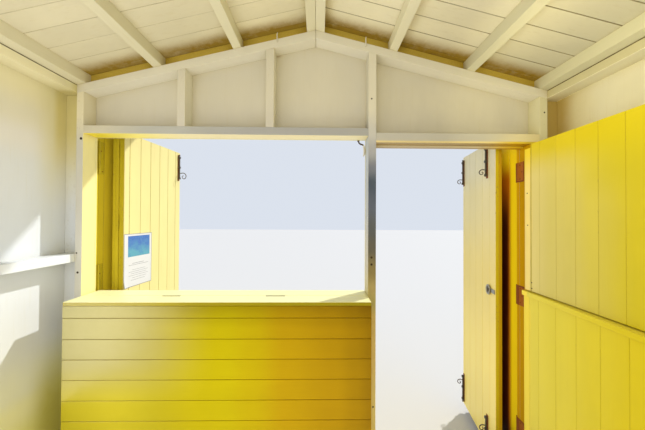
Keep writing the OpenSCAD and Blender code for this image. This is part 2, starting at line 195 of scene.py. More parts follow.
def painted(name, base, stain_and_shade, rough=0.42, grain=0.5, tone_amt=0.10, dirt_and_shade=0.55, chip=0.35, bare=(0.30, 0.20, 0.11),
            ao_dist=0.05, bump=0.5, streaks=0.0, line=0.0, lighting_tints=(), lighting_zones=(), spec=0.5, occ0=0.22, occ1=0.85):
    """Brushed paint on timber: grain and brush marks run along each board (attribute gco), each board has its own tone,
    corners, creases and joints darken to the stain colour through an ambient-occlusion mask (painted shade mixed with
    dirt), and the arrises are worn through in spots. The lighting tints, (axis, [(place, colour), ...]),
    multiply the paint with painted light and shade gradients; the lighting zones, (colour, amount, unevenness, [(axis,
    from, to), ...]), paint shade, shadow, bounce light or highlight where each ramp rises. Places are in metres in the
    hut's frame."""
    m = bpy.data.materials.new(name)
    N = Nodes(m)
    g = N.n("ShaderNodeSeparateXYZ")
    N.put(g.inputs[0], N.attr("gco", "Vector"))
    a, c, d = g.outputs
    tone = N.attr("tone")
    w = N.math("MULTIPLY", tone, 91.0)
    grainv = N.vec(N.math("MULTIPLY", a, 3.2), N.math("MULTIPLY", c, 75.0), N.math("MULTIPLY", d, 75.0))
    gr = N.noise(grainv, w, detail=5.0, rough=0.62, distort=0.35)
    brushv = N.vec(N.math("MULTIPLY", a, 14.0), N.math("MULTIPLY", c, 420.0), N.math("MULTIPLY", d, 420.0))
    br = N.noise(brushv, w, detail=2.0)
    blotchv = N.vec(N.math("MULTIPLY", a, 2.0), N.math("MULTIPLY", c, 5.0), N.math("MULTIPLY", d, 5.0))
    bl = N.noise(blotchv, w, detail=4.0, rough=0.6)
    speckv = N.vec(N.math("MULTIPLY", a, 55.0), N.math("MULTIPLY", c, 90.0), N.math("MULTIPLY", d, 90.0))
    sp = N.noise(speckv, w, detail=3.0, rough=0.7)

    lo = tuple(x * (1 - tone_amt) for x in base)
    hi = tuple(min(1.0, x * (1 + tone_amt * 0.6)) for x in base)
    col = N.mix(N.ramp(bl, 0.3, 0.72), lo, hi)
    col = N.mix(N.ramp(tone, 0.0, 1.0, 0.0, 0.55), col, tuple(x * (1 - tone_amt * 0.9) for x in base))
    col = N.mix(N.ramp(gr, 0.52, 0.78, 0.0, grain * 0.30), col, stain_and_shade)
    if streaks:
        st = N.noise(N.vec(N.math("MULTIPLY", a, 0.9), N.math("MULTIPLY", c, 22.0), N.math("MULTIPLY", d, 22.0)), w, detail=4.0, rough=0.6)
        col = N.mix(N.ramp(st, 0.5, 0.75, 0.0, streaks), col, stain_and_shade)
    if lighting_tints or lighting_zones:
        oc = N.n("ShaderNodeSeparateXYZ")
        place = N.n("ShaderNodeTexCoord").outputs["Object"]
        N.put(oc.inputs[0], place)
    if lighting_zones:
        mt = N.noise(place, 4.0, scale=24.0, detail=4.0, rough=0.65)
        uv = N.math("ADD", N.math("SUBTRACT", bl, 0.5), N.math("MULTIPLY", N.math("SUBTRACT", mt, 0.5), 0.8))
    # the lighting tints paint light and shade: they multiply the paint with gradients along one axis
    for axis, steps in lighting_tints:
        zz = N.math("ADD", oc.outputs[axis], N.math("MULTIPLY", N.math("SUBTRACT", bl, 0.5), 0.08))
        tint = steps[0][1]
        for (za, ca), (zb, cb) in zip(steps, steps[1:]):
            tint = N.mix(N.ramp(zz, za, zb), tint, cb)
        col = N.mix(1.0, col, tint, "MULTIPLY")
    # the lighting zones paint shade, shadow, bounce light or highlight where their ramps rise
    for zcol, amount, uneven, ramps in lighting_zones:
        f = N.math("MULTIPLY", uv, uneven)
        zf = None
        for axis, za, zb in ramps:
            q = N.ramp(N.math("ADD", oc.outputs[axis], 0.0), min(za, zb), max(za, zb), 0.0 if za < zb else 1.0, 1.0 if za < zb else 0.0)
            zf = q if zf is None else N.math("MULTIPLY", zf, q)
        zf = N.math("MULTIPLY", zf, N.math("ADD", f, 1.0), clamp=True)
        col = N.mix(N.math("MULTIPLY", zf, amount), col, zcol)
    # painted shade mixed with dirt: corners, creases and recesses found by the ambient-occlusion node darken to the
    # stain colour
    ao = N.n("ShaderNodeAmbientOcclusion", samples=4)
    ao.inputs["Distance"].default_value = ao_dist
    occ = N.math("SUBTRACT", 1.0, ao.outputs["AO"])
    dirt_and_shade_mask = N.math("MULTIPLY", N.ramp(occ, occ0, occ1), N.ramp(bl, 0.25, 0.65, 0.35, 1.0))
    col = N.mix(N.math("MULTIPLY", dirt_and_shade_mask, dirt_and_shade), col, stain_and_shade)
    # worn arrises: bare wood where the distance to the board's long edge is small and the noise is high
    hw = N.attr("hw")
    edge = N.math("SUBTRACT", hw, N.math("ABSOLUTE", c))
    em = N.ramp(edge, 0.0005, 0.005, 1.0, 0.0)
    cm = N.math("MULTIPLY", em, N.ramp(N.math("MULTIPLY", sp, N.math("ADD", bl, 0.45)), 0.60, 0.68))
    spots = N.ramp(N.math("MULTIPLY", sp, N.math("ADD", gr, 0.5)), 0.86, 0.92)
    cm = N.math("MAXIMUM", cm, spots)
    col = N.mix(N.math("MULTIPLY", cm, chip), col, bare)
    if line:
        ln = N.math("MULTIPLY", N.ramp(edge, 0.0006, 0.0032, 1.0, 0.0), N.math("MULTIPLY", N.ramp(bl, 0.25, 0.6, 0.45, 1.0), line))
        col = N.mix(ln, col, tuple(x * 0.35 for x in stain_and_shade))
    N.put(N.b.inputs["Base Color"], col)
    r = N.math("ADD", N.ramp(br, 0.3, 0.7, rough - 0.06, rough + 0.06), N.math("MULTIPLY", N.math("MAXIMUM", dirt_and_shade_mask, cm), 0.25))
    N.put(N.b.inputs["Roughness"], r)
    N.b.inputs["Specular IOR Level"].default_value = spec
    h = N.math("ADD", N.math("MULTIPLY", gr, 0.55), N.math("MULTIPLY", br, 0.22))
    h = N.math("ADD", h, N.math("MULTIPLY", bl, 0.5))
    h = N.math("SUBTRACT", h, N.math("MULTIPLY", cm, 0.5))
    bp = N.n("ShaderNodeBump")
    bp.inputs["Strength"].default_value = bump
    bp.inputs["Distance"].default_value = 0.0012
    N.put(bp.inputs["Height"], h)
    N.put(N.b.inputs["Normal"], bp.outputs[0])
    return m


def raw_timber(name, base, dark, rough=0.8):
    m = bpy.data.materials.new(name)
    N = Nodes(m)
    g = N.n("ShaderNodeSeparateXYZ")
    N.put(g.inputs[0], N.attr("gco", "Vector"))
    a, c, d = g.outputs
    w = N.math("MULTIPLY", N.attr("tone"), 91.0)
    gr = N.noise(N.vec(N.math("MULTIPLY", a, 2.2), N.math("MULTIPLY", c, 60.0), N.math("MULTIPLY", d, 60.0)), w, detail=6.0, rough=0.65, distort=0.8)
    bl = N.noise(N.vec(N.math("MULTIPLY", a, 1.6), N.math("MULTIPLY", c, 6.0), N.math("MULTIPLY", d, 6.0)), w, detail=5.0, rough=0.65)
    sand = N.noise(N.vec(N.math("MULTIPLY", a, 260.0), N.math("MULTIPLY", c, 260.0), N.math("MULTIPLY", d, 260.0)), w, detail=2.0)
    col = N.mix(N.ramp(gr, 0.35, 0.7), dark, base)
    col = N.mix(N.ramp(bl, 0.35, 0.7, 0.0, 0.5), col, tuple(x * 0.7 for x in base))
    col = N.mix(N.math("MULTIPLY", N.ramp(sand, 0.55, 0.7), N.ramp(bl, 0.45, 0.6, 0.0, 0.6)), col, (0.62, 0.52, 0.36))
    N.put(N.b.inputs["Base Color"], col)
    N.put(N.b.inputs["Roughness"], N.ramp(gr, 0.3, 0.7, rough - 0.1, min(1.0, rough + 0.1)))
    bp = N.n("ShaderNodeBump")
    bp.inputs["Strength"].default_value = 0.7
    bp.inputs["Distance"].default_value = 0.0015
    N.put(bp.inputs["Height"], N.math("ADD", gr, N.math("MULTIPLY", sand, 0.25)))
    N.put(N.b.inputs["Normal"], bp.outputs[0])
    return m


def metal(name, base, rust, rust_amt, metallic=0.8, rough=0.5):
    m = bpy.data.materials.new(name)
    N = Nodes(m)
    co = N.n("ShaderNodeTexCoord").outputs["Object"]
    n1 = N.noise(co, 0.0, scale=55.0, detail=6.0, rough=0.7)
    n2 = N.noise(co, 3.0, scale=420.0, detail=4.0, rough=0.7)
    k = N.ramp(N.math("ADD", N.math("MULTIPLY", n1, 0.7), N.math("MULTIPLY", n2, 0.3)), 0.62 - 0.35 * rust_amt, 0.72 - 0.35 * rust_amt)
    dark = tuple(x * 0.45 for x in rust)
    rc = N.mix(N.ramp(n2, 0.35, 0.65), dark, rust)
    N.put(N.b.inputs["Base Color"], N.mix(k, base, rc))
    N.put(N.b.inputs["Metallic"], N.ramp(k, 0.0, 1.0, metallic, 0.05))
    N.put(N.b.inputs["Roughness"], N.ramp(k, 0.0, 1.0, rough, 0.88))
    bp = N.n("ShaderNodeBump")
    bp.inputs["Strength"].default_value = 0.6
    bp.inputs["Distance"].default_value = 0.0008
    N.put(bp.inputs["Height"], N.math("ADD", n1, N.math("MULTIPLY", n2, 0.5)))
    N.put(N.b.inputs["Normal"], bp.outputs[0])
    return m


def felt_material():
    m = bpy.data.materials.new("mineral_felt")
    N = Nodes(m)
    co = N.n("ShaderNodeTexCoord").outputs["Object"]
    big = N.noise(co, 0.0, scale=1.7, detail=5.0, rough=0.6)
    chips = N.n("ShaderNodeTexVoronoi", feature="F1")
    chips.inputs["Scale"].default_value = 420.0
    N.put(chips.inputs["Vector"], co)
    cc = N.n("ShaderNodeSeparateColor")
    N.put(cc.inputs[0], chips.outputs["Color"])
    streak = N.noise(co, 5.0, scale=9.0, detail=5.0, rough=0.65)
    col = N.mix(cc.outputs[0], (0.050, 0.062, 0.052), (0.17, 0.19, 0.16))
    col = N.mix(N.ramp(big, 0.35, 0.7, 0.0, 0.55), col, (0.20, 0.20, 0.17))
    col = N.mix(N.ramp(streak, 0.55, 0.75, 0.0, 0.4), col, (0.045, 0.05, 0.045))
    N.put(N.b.inputs["Base Color"], col)
    N.b.inputs["Roughness"].default_value = 0.95
    bp = N.n("ShaderNodeBump")
    bp.inputs["Strength"].default_value = 0.8
    bp.inputs["Distance"].default_value = 0.001
    N.put(bp.inputs["Height"], N.math("ADD", cc.outputs[1], N.math("MULTIPLY", streak, 0.6)))
    N.put(N.b.inputs["Normal"], bp.outputs[0])
    return m


def card_material(name, top, low, rough, band=0.0):
    """A printed area: a soft generic gradient up the card with a little paper unevenness."""
    m = bpy.data.materials.new(name)
    N = Nodes(m)
    co = N.n("ShaderNodeTexCoord").outputs["Object"]
    s = N.n("ShaderNodeSeparateXYZ")
    N.put(s.inputs[0], co)
    f = N.ramp(s.outputs[2], 1.30, 1.42)
    n = N.noise(co, 1.0, scale=26.0, detail=3.0)
    f2 = N.math("ADD", f, N.math("MULTIPLY", N.math("SUBTRACT", n, 0.5), band), clamp=True)
    col = N.mix(f2, low, top)
    fine = N.noise(co, 2.0, scale=900.0, detail=2.0)
    col = N.mix(N.ramp(fine, 0.4, 0.7, 0.0, 0.06), col, (0.55, 0.55, 0.52))
    N.put(N.b.inputs["Base Color"], col)
    N.put(N.b.inputs["Roughness"], N.ramp(fine, 0.3, 0.7, rough - 0.05, rough + 0.05))
    bp = N.n("ShaderNodeBump")
    bp.inputs["Strength"].default_value = 0.15
    bp.inputs["Distance"].default_value = 0.0004
    N.put(bp.inputs["Height"], n)
    N.put(N.b.inputs["Normal"], bp.outputs[0])
    return m


# painted shade: ochre-brown on the ceiling boards beside the front and back blocks, and brown-olive in the right wall's
# front corner
BLOCK_SHADE = (0.29, 0.165, 0.001)
CORNER_SHADE = ((0.36, 0.20, 0.006), 0.92, 0.5, [(0, -1.28, -1.335), (1, -0.80, -0.895)])
WHITE = painted("white_paint", (0.78, 0.755, 0.655), (0.55, 0.45, 0.20), rough=0.50, grain=0.35, tone_amt=0.05, dirt_and_shade=0.6, chip=0.2, ao_dist=0.10)
# left wall: the cool base colour is painted sky light; the tints paint yellow bounce light low down and warmer light
# near the top; the zones paint yellowish light and shade near the front corner, and a dark line of painted shadow in
# the gap under the eave beam
LWALL = painted("left_wall_white_paint", (0.75, 0.765, 0.83), (0.55, 0.50, 0.30), rough=0.50, grain=0.35, tone_amt=0.05, dirt_and_shade=0.5, chip=0.2, ao_dist=0.10,
                lighting_tints=[(2, [(0.45, (1.22, 1.20, 0.44)), (0.60, (1.24, 1.22, 0.74)), (0.70, (1.15, 1.16, 0.91)), (0.95, (0.96, 0.98, 0.95)), (1.50, (0.98, 1.02, 1.03)),
                            (1.80, (1.04, 1.06, 1.03)), (1.95, (1.14, 1.10, 0.98)), (2.06, (1.12, 1.06, 0.82)), (2.22, (1.24, 1.15, 0.76))])],
                lighting_zones=[((0.76, 0.72, 0.46), 0.6, 0.3, [(1, -0.74, -0.84), (2, 1.55, 1.95)]), ((0.70, 0.62, 0.26), 0.85, 0.3, [(1, -0.835, -0.878), (2, 1.75, 2.08)]),
                       ((0.06, 0.035, 0.010), 0.85, 1.2, [(2, 2.2968, 2.2984)]),
                       ((0.62, 0.58, 0.14), 0.95, 0.3, [(1, -0.72, -0.84), (2, 0.95, 0.50)])])
# right wall: the warm base colour is painted yellow bounce light; the zones paint the corner shade, warm shade beside
# the front corner, a dark line of painted shadow under the eave beam and a pale painted highlight along the plate's
# arris
RWALL = painted("right_wall_white_paint", (0.88, 0.85, 0.70), (0.55, 0.42, 0.12), rough=0.50, grain=0.35, tone_amt=0.05, dirt_and_shade=0.6, chip=0.2, ao_dist=0.10,
                lighting_zones=[CORNER_SHADE, ((0.62, 0.50, 0.18), 0.5, 0.6, [(0, -1.28, -1.335), (1, -0.66, -0.86)]),
                       ((0.60, 0.56, 0.36), 0.95, 0.2, [(0, -1.3530, -1.3510), (2, 2.2580, 2.2595)]), ((0.06, 0.035, 0.010), 0.9, 1.0, [(2, 2.2972, 2.2986)]), ((0.99, 0.96, 0.76), 0.9, 0.2, [(2, 2.2592, 2.2582), (2, 2.2550, 2.2560)])])
# gable: a darker copy of the white, which the tints make darker and cooler towards the header (painted shade), with
# brown painted shade in the top corners of two bays where the studs meet the rafters
GABLE = painted("gable_white_paint", (0.735, 0.705, 0.61), (0.60, 0.50, 0.20), rough=0.50, grain=0.3, tone_amt=0.05, dirt_and_shade=0.5, chip=0.15, ao_dist=0.14,
                lighting_tints=[(2, [(2.05, (0.88, 0.88, 0.93)), (2.30, (0.98, 0.98, 0.97))])],
                lighting_zones=[((0.36, 0.19, 0.03), 0.9, 0.6, [(0, 0.700, 0.736), (2, 2.400, 2.440), (0, 0.80, 0.75)]),
                       ((0.36, 0.19, 0.03), 0.9, 0.6, [(0, 0.196, 0.232), (2, 2.515, 2.545), (0, 0.30, 0.25)])])
# painted light: a lighter copy of the white for the rafters' undersides and the gable studs' sides
LIT_WHITE = painted("lit_white_paint", (0.87, 0.845, 0.735), (0.58, 0.50, 0.24), rough=0.50, grain=0.3, tone_amt=0.05, dirt_and_shade=0.4, chip=0.15, ao_dist=0.06)
# corner studs: the tints paint warmer light at the right and cooler light at the left, and the zone paints a pale
# highlight high on the left stud
CSTUD = painted("corner_stud_white_paint", (0.76, 0.735, 0.62), (0.55, 0.45, 0.20), rough=0.50, grain=0.35, tone_amt=0.05, dirt_and_shade=0.6, chip=0.2, ao_dist=0.10,
                lighting_tints=[(0, [(-1.2, (1.0, 1.0, 0.85)), (1.2, (0.82, 0.84, 0.92))])], lighting_zones=[((0.84, 0.79, 0.60), 0.9, 0.2, [(0, 1.0, 1.1), (2, 1.95, 2.15)])])
# window header: a darker copy of the white for its painted shade; the tints make it cooler towards the post and
# brighter at the left end (painted light)
HEAD = painted("header_shaded_white_paint", (0.56, 0.53, 0.51), (0.42, 0.34, 0.18), rough=0.50, grain=0.35, tone_amt=0.05, dirt_and_shade=0.4, chip=0.2,
               lighting_tints=[(0, [(0.2, (0.76, 0.82, 0.91)), (0.9, (0.85, 0.92, 0.95)), (1.25, (1.18, 1.20, 1.05))])])
# door header: a darker copy of the white for its painted shade, warmer towards the hinge side as painted yellow bounce
# light, with a pale painted highlight along its lower edge that turns yellow near the hinge
DHEAD = painted("door_header_white_paint", (0.56, 0.555, 0.54), (0.42, 0.34, 0.18), rough=0.50, grain=0.35, tone_amt=0.05, dirt_and_shade=0.3, chip=0.2,
                lighting_tints=[(0, [(-1.25, (1.45, 1.32, 0.85)), (-0.95, (1.0, 1.0, 1.0))])],
                lighting_zones=[((0.86, 0.72, 0.34), 0.85, 0.2, [(2, 2.0045, 2.0005)]), ((0.80, 0.58, 0.01), 0.9, 0.2, [(2, 2.0045, 2.0005), (0, -0.98, -1.18)])])
# window header underside: the tints paint yellow bounce light towards its left end
HUNDER = painted("header_underside_paint", (0.90, 0.80, 0.48), (0.55, 0.40, 0.10), rough=0.42, grain=0.35, tone_amt=0.05, dirt_and_shade=0.4, chip=0.2,
                 lighting_tints=[(0, [(0.8, (1.0, 1.0, 1.0)), (1.1, (1.06, 1.06, 0.45)), (1.28, (1.04, 0.98, 0.12))])])
# door head underside: a brownish copy of the paint for its painted shade, turning orange towards the hinge as painted
# bounce light
DUNDER = painted("door_head_underside_paint", (0.43, 0.31, 0.14), (0.40, 0.22, 0.05), rough=0.42, grain=0.35, tone_amt=0.06, dirt_and_shade=0.4, chip=0.2,
                 lighting_tints=[(0, [(-1.20, (1.45, 1.15, 0.05)), (-0.95, (1.0, 1.0, 1.0))])])
# door stop: the tint paints yellow bounce light towards the hinge side
STOP = painted("door_stop_paint", (0.72, 0.66, 0.50), (0.45, 0.32, 0.10), rough=0.40, grain=0.35, tone_amt=0.05, dirt_and_shade=0.3, chip=0.2,
               lighting_tints=[(0, [(-1.22, (1.22, 1.0, 0.05)), (-0.95, (1.0, 1.0, 1.0))])])
# middle post: the tints paint its backlit shade, dark blue-grey through the middle of its height, with warm yellow
# bounce light low down
SHADED_POST = painted("post_shaded_paint", (0.78, 0.755, 0.655), (0.45, 0.40, 0.14), rough=0.45, grain=0.2, tone_amt=0.04, dirt_and_shade=0.2, chip=0.1,
               lighting_tints=[(2, [(0.40, (1.10, 0.95, 0.36)), (0.80, (0.99, 0.78, 0.29)), (0.98, (0.92, 0.73, 0.27)), (1.08, (0.67, 0.62, 0.26)), (1.16, (0.54, 0.44, 0.20)),
                           (1.26, (0.32, 0.26, 0.11)), (1.40, (0.15, 0.145, 0.14)), (1.50, (0.13, 0.15, 0.20)), (1.62, (0.14, 0.175, 0.31)), (1.76, (0.09, 0.13, 0.24)),
                           (1.84, (0.25, 0.29, 0.46)), (1.95, (0.56, 0.60, 0.79)), (2.05, (0.79, 0.82, 0.95)), (2.20, (1.0, 1.0, 1.0))])])
# the post's reveals: a grey copy of the white for their painted shade, warmer low down and cooler high up
SHADED_REVEAL_GREY = painted("post_reveal_shaded_paint", (0.59, 0.59, 0.59), (0.45, 0.40, 0.20), rough=0.42, grain=0.3, tone_amt=0.05, dirt_and_shade=0.3, chip=0.2,
                 lighting_tints=[(2, [(1.15, (1.05, 0.90, 0.42)), (1.32, (0.96, 0.86, 0.66)), (1.60, (0.86, 0.88, 0.88)), (1.95, (0.84, 0.90, 0.97))])])
# ceiling: the tints paint it lighter near the ridge and darker towards the right eave, and the block zones paint the
# ochre-brown shade beside the front and back blocks
CREAM = painted("ceiling_paint", (0.86, 0.82, 0.645), (0.40, 0.28, 0.03), rough=0.52, grain=0.5, tone_amt=0.07, dirt_and_shade=0.9, chip=0.3, ao_dist=0.15, line=0.75,
                occ0=0.34, occ1=0.92, lighting_tints=[(0, [(-1.25, (0.74, 0.75, 0.76)), (-0.80, (1.0, 1.0, 1.0)), (-0.30, (1.13, 1.13, 1.12))])],
                lighting_zones=[(BLOCK_SHADE, 0.96, 1.5, [(1, -0.79, -0.900)]), (BLOCK_SHADE, 0.7, 1.6, [(1, 1.10, 1.31)])])
CREAM_L = painted("ceiling_left_paint", (0.82, 0.775, 0.60), (0.48, 0.36, 0.06), rough=0.52, grain=0.5, tone_amt=0.07, dirt_and_shade=0.85, chip=0.3, ao_dist=0.15, line=0.25,
                  occ0=0.34, occ1=0.92, lighting_tints=[(0, [(0.25, (1.13, 1.13, 1.12)), (0.75, (1.0, 1.0, 1.0))])], lighting_zones=[(BLOCK_SHADE, 0.96, 1.5, [(1, -0.80, -0.902)]), (BLOCK_SHADE, 0.7, 1.6, [(1, 1.10, 1.31)])])
# blocks between the purlins: an ochre copy of the ceiling paint for their painted shade
SHADED_BLOCKS = painted("ceiling_block_shaded_paint", (0.80, 0.63, 0.12), (0.34, 0.20, 0.005), rough=0.52, grain=0.5, tone_amt=0.12, dirt_and_shade=0.95, chip=0.3, ao_dist=0.10)
# purlins: the tints paint them darker towards the eaves (painted shade)
PURLIN = painted("purlin_paint", (0.89, 0.86, 0.67), (0.50, 0.40, 0.12), rough=0.50, grain=0.35, tone_amt=0.05, dirt_and_shade=0.5, chip=0.2, ao_dist=0.06,
                 lighting_tints=[(0, [(-1.25, (0.80, 0.81, 0.78)), (-0.85, (0.84, 0.85, 0.84)), (-0.55, (1.0, 1.0, 1.0)), (0.55, (1.0, 1.0, 1.0)), (0.85, (0.90, 0.89, 0.87))])])
YELLOW = painted("yellow_paint", (0.83, 0.70, 0.035), (0.48, 0.30, 0.005), rough=0.34, grain=0.4, tone_amt=0.06, dirt_and_shade=0.6, chip=0.4, ao_dist=0.03, line=0.5, spec=0.4)
# upper leaf: the tints paint light and shade, paler towards the hinge strip and duller at the top; the zones darken a
# patch high on the leaf and a line beside the hinge strip
UPYEL = painted("upper_leaf_yellow_paint", (0.69, 0.585, 0.038), (0.55, 0.36, 0.004), rough=0.34, grain=0.3, tone_amt=0.06, dirt_and_shade=0.4, chip=0.3, ao_dist=0.02, line=0.18, spec=0.28,
                lighting_tints=[(1, [(-0.832, (1.42, 1.35, 6.8)), (-0.818, (1.14, 1.15, 6.2)), (-0.69, (1.04, 1.05, 4.0)), (-0.60, (1.0, 1.01, 3.3)), (-0.50, (1.0, 1.0, 1.9)), (-0.36, (1.0, 0.98, 0.35))]),
                       (2, [(1.77, (1.0, 1.0, 1.0)), (1.93, (0.95, 0.90, 0.10))])],
                lighting_zones=[((0.58, 0.49, 0.010), 0.8, 0.2, [(1, -0.64, -0.42), (2, 1.60, 1.78)]),
                       ((0.42, 0.32, 0.010), 0.7, 0.8, [(1, -0.8275, -0.8255), (1, -0.8165, -0.8190)])])
# lower leaf: the tints paint light and shade, paler near the hinge and duller, deeper yellow towards the free edge
LOYEL = painted("lower_leaf_yellow_paint", (0.81, 0.68, 0.034), (0.55, 0.36, 0.004), rough=0.34, grain=0.3, tone_amt=0.06, dirt_and_shade=0.4, chip=0.3, ao_dist=0.02, line=0.18, spec=0.28,
                lighting_tints=[(1, [(-0.835, (1.26, 1.20, 2.2)), (-0.822, (1.06, 1.08, 2.2)), (-0.64, (1.0, 1.01, 1.3)), (-0.48, (0.95, 0.94, 0.5)), (-0.36, (0.93, 0.90, 0.12))])])
# a darker copy of the yellow for the first shutter leaf's painted shade
SHADED_SHUTTER_YELLOW = painted("shaded_shutter_yellow_paint", (0.73, 0.59, 0.035), (0.42, 0.26, 0.005), rough=0.36, grain=0.4, tone_amt=0.06, dirt_and_shade=0.6, chip=0.4, ao_dist=0.03, line=0.5, spec=0.3)
# the lower leaf cap's top: a brighter yellow with no corner darkening, painted light that lifts the shade under the
# upper leaf
CAP_TOP_LIGHT = painted("cap_top_lit_yellow_paint", (0.93, 0.80, 0.08), (0.50, 0.32, 0.004), rough=0.40, grain=0.4, tone_amt=0.06, dirt_and_shade=0.0, chip=0.3)
# door reveals: an orange copy of the yellow for their painted shade
SHADED_ORANGE = painted("shaded_orange_yellow_paint", (0.63, 0.36, 0.001), (0.36, 0.16, 0.001), rough=0.36, spec=0.25, grain=0.4, tone_amt=0.08, dirt_and_shade=0.5, chip=0.3, ao_dist=0.03)
HPLATE = painted("hinge_plate_paint", (0.42, 0.13, 0.012), (0.08, 0.012, 0.001), rough=0.5, grain=0.8, tone_amt=0.2, dirt_and_shade=0.6, chip=0.5, ao_dist=0.02)
# counter front: a darker copy of the yellow; the zones paint the pale khaki glare of the sunlit wall at the upper left
# and golden light below it (painted reflection and light), and the tints paint it darker towards both ends and towards
# its top, in the shelf's shade
COUNTER = painted("counter_yellow_paint", (0.55, 0.467, 0.001), (0.36, 0.20, 0.0), rough=0.40, grain=0.3, tone_amt=0.05, dirt_and_shade=0.6, chip=0.4, ao_dist=0.03, line=0.4,
                  spec=0.12, lighting_zones=[((0.60, 0.52, 0.030), 1.0, 0.2, [(0, 0.55, 1.10), (2, 0.95, 0.60)]), ((0.455, 0.415, 0.175), 1.0, 0.3, [(0, 0.50, 1.15), (2, 0.55, 0.86)])], lighting_tints=[(0, [(-0.30, (0.62, 0.42, 1.0)), (-0.22, (0.74, 0.52, 1.0)), (-0.11, (0.86, 0.62, 1.0)), (0.14, (0.96, 0.74, 1.0)), (0.33, (1.0, 0.93, 1.0)),
                                         (0.46, (1.0, 1.0, 1.0)), (0.60, (0.96, 0.96, 1.0)), (0.95, (0.62, 0.62, 1.0)), (1.25, (0.53, 0.55, 1.0))]),
                                    (2, [(0.70, (1.0, 1.0, 1.0)), (0.96, (0.90, 0.89, 1.0)), (1.02, (0.78, 0.77, 1.0)), (1.09, (0.60, 0.58, 1.0))])])
# the shelf's edges: a dark copy of the counter yellow for the shade line under the top's overhang
EDGE = painted("counter_edge_shade_paint", (0.32, 0.26, 0.001), (0.30, 0.18, 0.0), rough=0.40, grain=0.3, tone_amt=0.05, dirt_and_shade=0.4, chip=0.1, ao_dist=0.03, spec=0.35)
# outer door leaves: the zones paint the cavity between the folded leaves, with orange shade on the second leaf's back,
# dark red shade and near-black painted shadow deep in the fold
DEEP = painted("outer_leaf_cavity_shade_paint", (0.83, 0.66, 0.010), (0.45, 0.22, 0.005), rough=0.34, grain=0.4, tone_amt=0.06, dirt_and_shade=0.6, chip=0.4, ao_dist=0.03, line=0.3,
               lighting_zones=[((0.66, 0.36, 0.002), 0.8, 0.3, [(0, -1.142, -1.149), (0, -1.24, -1.20)]),
                      ((0.40, 0.095, 0.002), 0.95, 0.2, [(1, -1.034, -1.064), (2, 1.96, 1.80)]),
                      ((0.030, 0.003, 0.002), 0.97, 0.2, [(1, -1.052, -1.080), (2, 1.84, 1.50)])])
# a paler copy of the yellow for the sunlit window reveals and sill: painted light
SUNLIT_PALE = painted("sunlit_pale_yellow_paint", (0.88, 0.80, 0.36), (0.55, 0.40, 0.06), rough=0.36, grain=0.4, tone_amt=0.05, dirt_and_shade=0.5, chip=0.35)
# the counter shelf's and sill's tops: a pale copy of the yellow for their sunlit look (painted light)
SUNLIT_TOP = painted("sunlit_top_paint", (0.90, 0.885, 0.50), (0.60, 0.48, 0.15), rough=0.40, grain=0.35, tone_amt=0.04, dirt_and_shade=0.5, chip=0.35)
LEMON = painted("lemon_paint", (0.85, 0.76, 0.33), (0.50, 0.37, 0.07), rough=0.40, grain=0.5, tone_amt=0.05, dirt_and_shade=0.7, chip=0.4, ao_dist=0.02, line=0.4)
# the outer leaf's lemon face: the tints paint light, warmer and brighter low down and bluer at the top
LEMON2 = painted("outer_leaf_lemon_paint", (0.84, 0.75, 0.33), (0.52, 0.38, 0.06), rough=0.40, grain=0.4, tone_amt=0.05, dirt_and_shade=0.5, chip=0.35, ao_dist=0.02, line=0.10,
                 lighting_tints=[(2, [(0.55, (1.30, 1.18, 0.71)), (1.15, (1.12, 1.01, 0.69)), (1.70, (1.03, 1.0, 1.12)), (1.92, (0.98, 1.0, 1.50))])])
FLOOR = raw_timber("floor_timber", (0.36, 0.26, 0.16), (0.13, 0.085, 0.05))
BEARER = raw_timber("bearer_timber", (0.26, 0.20, 0.12), (0.09, 0.07, 0.045), rough=0.9)
RUST = metal("rusty_iron", (0.22, 0.10, 0.06), (0.34, 0.10, 0.035), 0.75, metallic=0.4, rough=0.6)
STEEL = metal("weathered_steel", (0.16, 0.15, 0.14), (0.13, 0.07, 0.04), 0.35, metallic=0.85, rough=0.42)
ZINC = metal("worn_zinc", (0.42, 0.40, 0.36), (0.22, 0.13, 0.07), 0.25, metallic=0.9, rough=0.4)
FELT = felt_material()
# a near-black for screw marks, also used as painted shade in the shelf's notches and the lock keep's hole
DARK_MARK_AND_SHADE = metal("dark_mark_and_shade", (0.02, 0.015, 0.01), (0.05, 0.03, 0.015), 0.5, metallic=0.0, rough=0.9)
PAPER = card_material("card_white", (0.74, 0.75, 0.78), (0.72, 0.73, 0.77), 0.30)
PRINT = card_material("card_blue", (0.05, 0.16, 0.52), (0.10, 0.36, 0.50), 0.25, band=1.6)
GREY = card_material("card_grey", (0.28, 0.29, 0.33), (0.28, 0.29, 0.33), 0.30)


